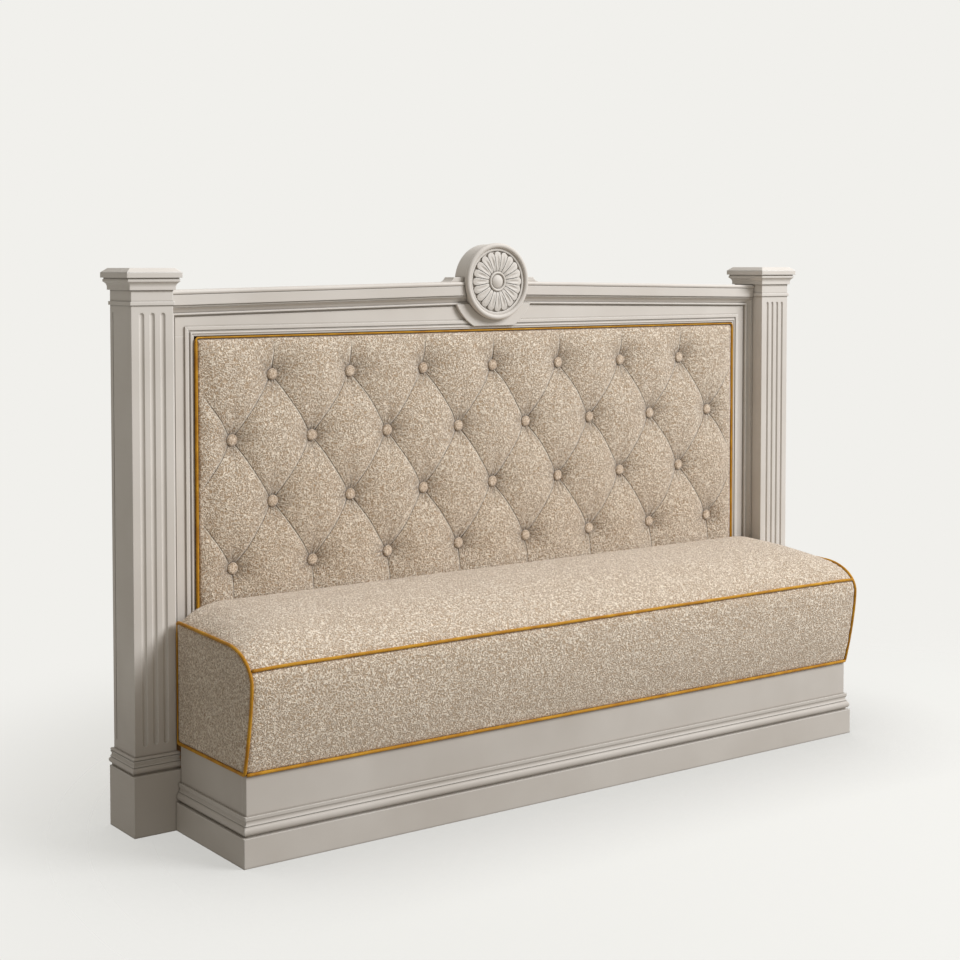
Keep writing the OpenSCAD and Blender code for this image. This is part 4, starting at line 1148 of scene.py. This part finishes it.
piping = {
    "seatRadius": 0.0036,
    "backRadius": 0.0034,
    "spacing": 0.006,
    "endSink": 0.00174,
    "endGap": 0.0003,
    "rearPress": 0.45,
    "frontOut": 0.001015,
    "frontWander": 0.0008,
    "footLift": 0.002,
    "backSink": 0.0015,
    "backCorner": 0.006,
    "topPress": 0.42,
    "topReach": 0.012,
    "pull": 0.00022,
    "pullSize": 0.012,
    "sides": 4,
}


def makeCord(name, path, radius, closed=False, slimness=None):
    deselectAll()
    curve = bpy.data.curves.new(name, "CURVE")
    curve.dimensions = "3D"
    curve.bevel_depth = radius
    curve.bevel_resolution = piping["sides"]
    curve.use_fill_caps = True
    line = curve.splines.new("POLY")
    line.points.add(len(path) - 1)
    line.points.foreach_set("co", np.column_stack([path, np.ones(len(path))]).astype(np.float32).ravel())
    line.use_cyclic_u = closed
    if slimness is not None:
        line.points.foreach_set("radius", slimness)
    piece = bpy.data.objects.new(name, curve)
    scene.collection.objects.link(piece)
    makeActive(piece)
    bpy.ops.object.convert(target="MESH")
    piece = bpy.context.object
    sewShut(piece, gap=0.00005)
    # small pulls where the bias strip is sewn round the cord
    points = readPoints(piece)
    pull = roughField(points, piping["pullSize"], seed=2.9) * piping["pull"]
    writePoints(piece, points + readPoints(piece, "normal") * pull[:, None])
    bpy.ops.object.shade_smooth()
    return piece


def makePipings():
    section = seatSection(piping["spacing"])
    into = inwardOf(section)
    endX = seat["halfLength"] - piping["endSink"]
    ring = (section[:, :2] + into * piping["endSink"])[:-1]
    # behind, against the posts, the cord is pressed flat
    slimness = np.where(ring[:, 0] > seatRear - piping["endSink"] - 0.0005, piping["rearPress"], 1)
    for side, word in ((-1, "left"), (1, "right")):
        path = np.column_stack([np.full(len(ring), side * endX), ring[:, 0] + postFront, ring[:, 1]])
        piece = makeCord(word + "EndPiping", path, piping["seatRadius"], closed=True, slimness=slimness)
        dress(piece, goldPiping, "gold_piping", "seat_piping_" + word)
    spot = np.argmin(np.hypot(section[:, 0] - seamSpot[0], section[:, 1] - seamSpot[1]))
    reach = endX - piping["seatRadius"] - piping["endGap"]
    x = np.linspace(-reach, reach, 240)
    s = swellShare(seat["halfLength"] - np.abs(x))
    push = max(0, 1 - (seamSpot[0] + seat["reach"]) / seat["frontRound"][0])
    y = postFront + seamSpot[0] - into[spot, 0] * piping["frontOut"] - seat["frontBulge"] * push * s
    crownShare = topSide(*seamSpot)[2]
    z = seamSpot[1] - into[spot, 1] * piping["frontOut"] + seat["crown"] * crownShare * s
    wander = np.array([noise.noise(Vector((v / 0.12, 0.3, 0.7))) for v in x]) * piping["frontWander"]
    front = makeCord("frontPiping", np.column_stack([x, y, z + wander]), piping["seatRadius"])
    dress(front, goldPiping, "gold_piping", "seat_piping_front")
    footY, footZ = postFront + footLine[0], seat["bottom"] + piping["footLift"]
    path = np.column_stack([x, np.full(len(x), footY), footZ + np.zeros(len(x))])
    bottom = makeCord("footPiping", path, piping["seatRadius"])
    dress(bottom, goldPiping, "gold_piping", "seat_piping_bottom")
    low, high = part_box("back_piping")
    r, corner = piping["backRadius"], piping["backCorner"]
    left, right, foot, top = low.x + r, high.x - r, low.z, high.z - r
    depth = (low.y + high.y) / 2 + piping["backSink"]
    upLeft = [(left, depth, z) for z in np.linspace(foot, top - corner, 60)]
    turn = []
    for a in np.linspace(0.2, 1.4, 5):
        turn.append((left + corner - corner * math.cos(a), depth, top - corner + corner * math.sin(a)))
    over = [(x, depth, top) for x in np.linspace(left + corner, right - corner, 160)]
    turnBack = [(-px, py, pz) for px, py, pz in turn[::-1]]
    downRight = [(right, depth, z) for z in np.linspace(top - corner, foot, 60)]
    path = np.array(upLeft + turn + over + turnBack + downRight)
    # the cord is drawn flatter under the top moulding
    share = np.clip((path[:, 2] - top + piping["topReach"]) / piping["topReach"], 0, 1)
    slimness = 1 - piping["topPress"] * share
    back = makeCord("backPiping", path, r, slimness=slimness)
    dress(back, goldPiping, "gold_piping", "back_piping")
    print("piping made")


makePipings()


# Floor, sky and lamps

studio = {
    "backdrop": colour(241, 240, 236),
    "floor": colour(232, 232, 230),
    "floorBounce": colour(188, 186, 182),
    "world": 0.315,
    "worldTint": (1.0, 0.95, 0.85),
    "middle": (0.35, -0.45, 0.0),
    "fadeFrom": 1.2,
    "fadeTo": 2.4,
    "floorShare": 0.42,
    "shadeReach": 0.45,
    "shadeFrom": 0.5,
    "shade": 0.5,
}
lamps = {
    "key": {"location": (5.1, -6.0, 6.3), "target": (0.0, 0.0, 0.6), "size": 4.2, "power": 950,
            "tint": (0.97, 0.98, 1.0)},
    "overhead": {"location": (-0.1, 0.7, 6.0), "target": (0.0, -0.2, 0.4), "size": 4.0, "power": 84,
                 "tint": (0.97, 0.98, 1.0)},
}


def makeFloor():
    deselectAll()
    bpy.ops.mesh.primitive_circle_add(vertices=96, radius=4.0, fill_type="NGON", location=(0, 0, 0))
    floor = bpy.context.object
    floor.name = "studioFloor"
    material, tree, surface, position = newMaterial("paleFloor")
    surface.inputs["Specular IOR Level"].default_value = 0.0
    seen = seenPlainly(tree)
    reach = {"Distance": studio["shadeReach"]}
    near = addNode(tree, "ShaderNodeAmbientOcclusion", reach, samples=6).outputs["AO"]
    shade = remap(tree, near, studio["shadeFrom"], 1.0, studio["shade"], 1.0)
    lit = blendColour(tree, shade, (0, 0, 0, 1), studio["floor"])
    tree.links.new(blendColour(tree, seen, studio["floorBounce"], lit), surface.inputs["Base Color"])
    surface.inputs["Roughness"].default_value = 1.0
    moved = vectorCalc(tree, "SUBTRACT", position, studio["middle"]).outputs[0]
    far = vectorCalc(tree, "LENGTH", moved).outputs["Value"]
    fade = remap(tree, far, studio["fadeFrom"], studio["fadeTo"], studio["floorShare"], 0.0, smooth=True)
    tree.links.new(fade, surface.inputs["Alpha"])
    layOut(tree)
    floor.data.materials.append(material)


def makeWorld():
    world = bpy.data.worlds.new("paleStudio")
    scene.world = world
    world.use_nodes = True
    tree = world.node_tree
    sky = tree.nodes["Background"]
    light = [studio["world"] * share for share in studio["worldTint"]] + [1]
    seen = blendColour(tree, seenPlainly(tree), light, studio["backdrop"])
    tree.links.new(seen, sky.inputs["Color"])
    layOut(tree)


def makeLamps():
    for name, lamp in lamps.items():
        place, target = Vector(lamp["location"]), Vector(lamp["target"])
        deselectAll()
        bpy.ops.object.light_add(type="AREA", location=place)
        light = bpy.context.object
        light.name = name + "Lamp"
        light.rotation_euler = (target - place).to_track_quat("-Z", "Y").to_euler()
        light.data.shape = "SQUARE"
        light.data.size = lamp["size"]
        light.data.energy = lamp["power"]
        light.data.color = lamp["tint"]


makeFloor()
makeWorld()
makeLamps()
scene.view_settings.view_transform = "Standard"
deselectAll()
print("studio made")
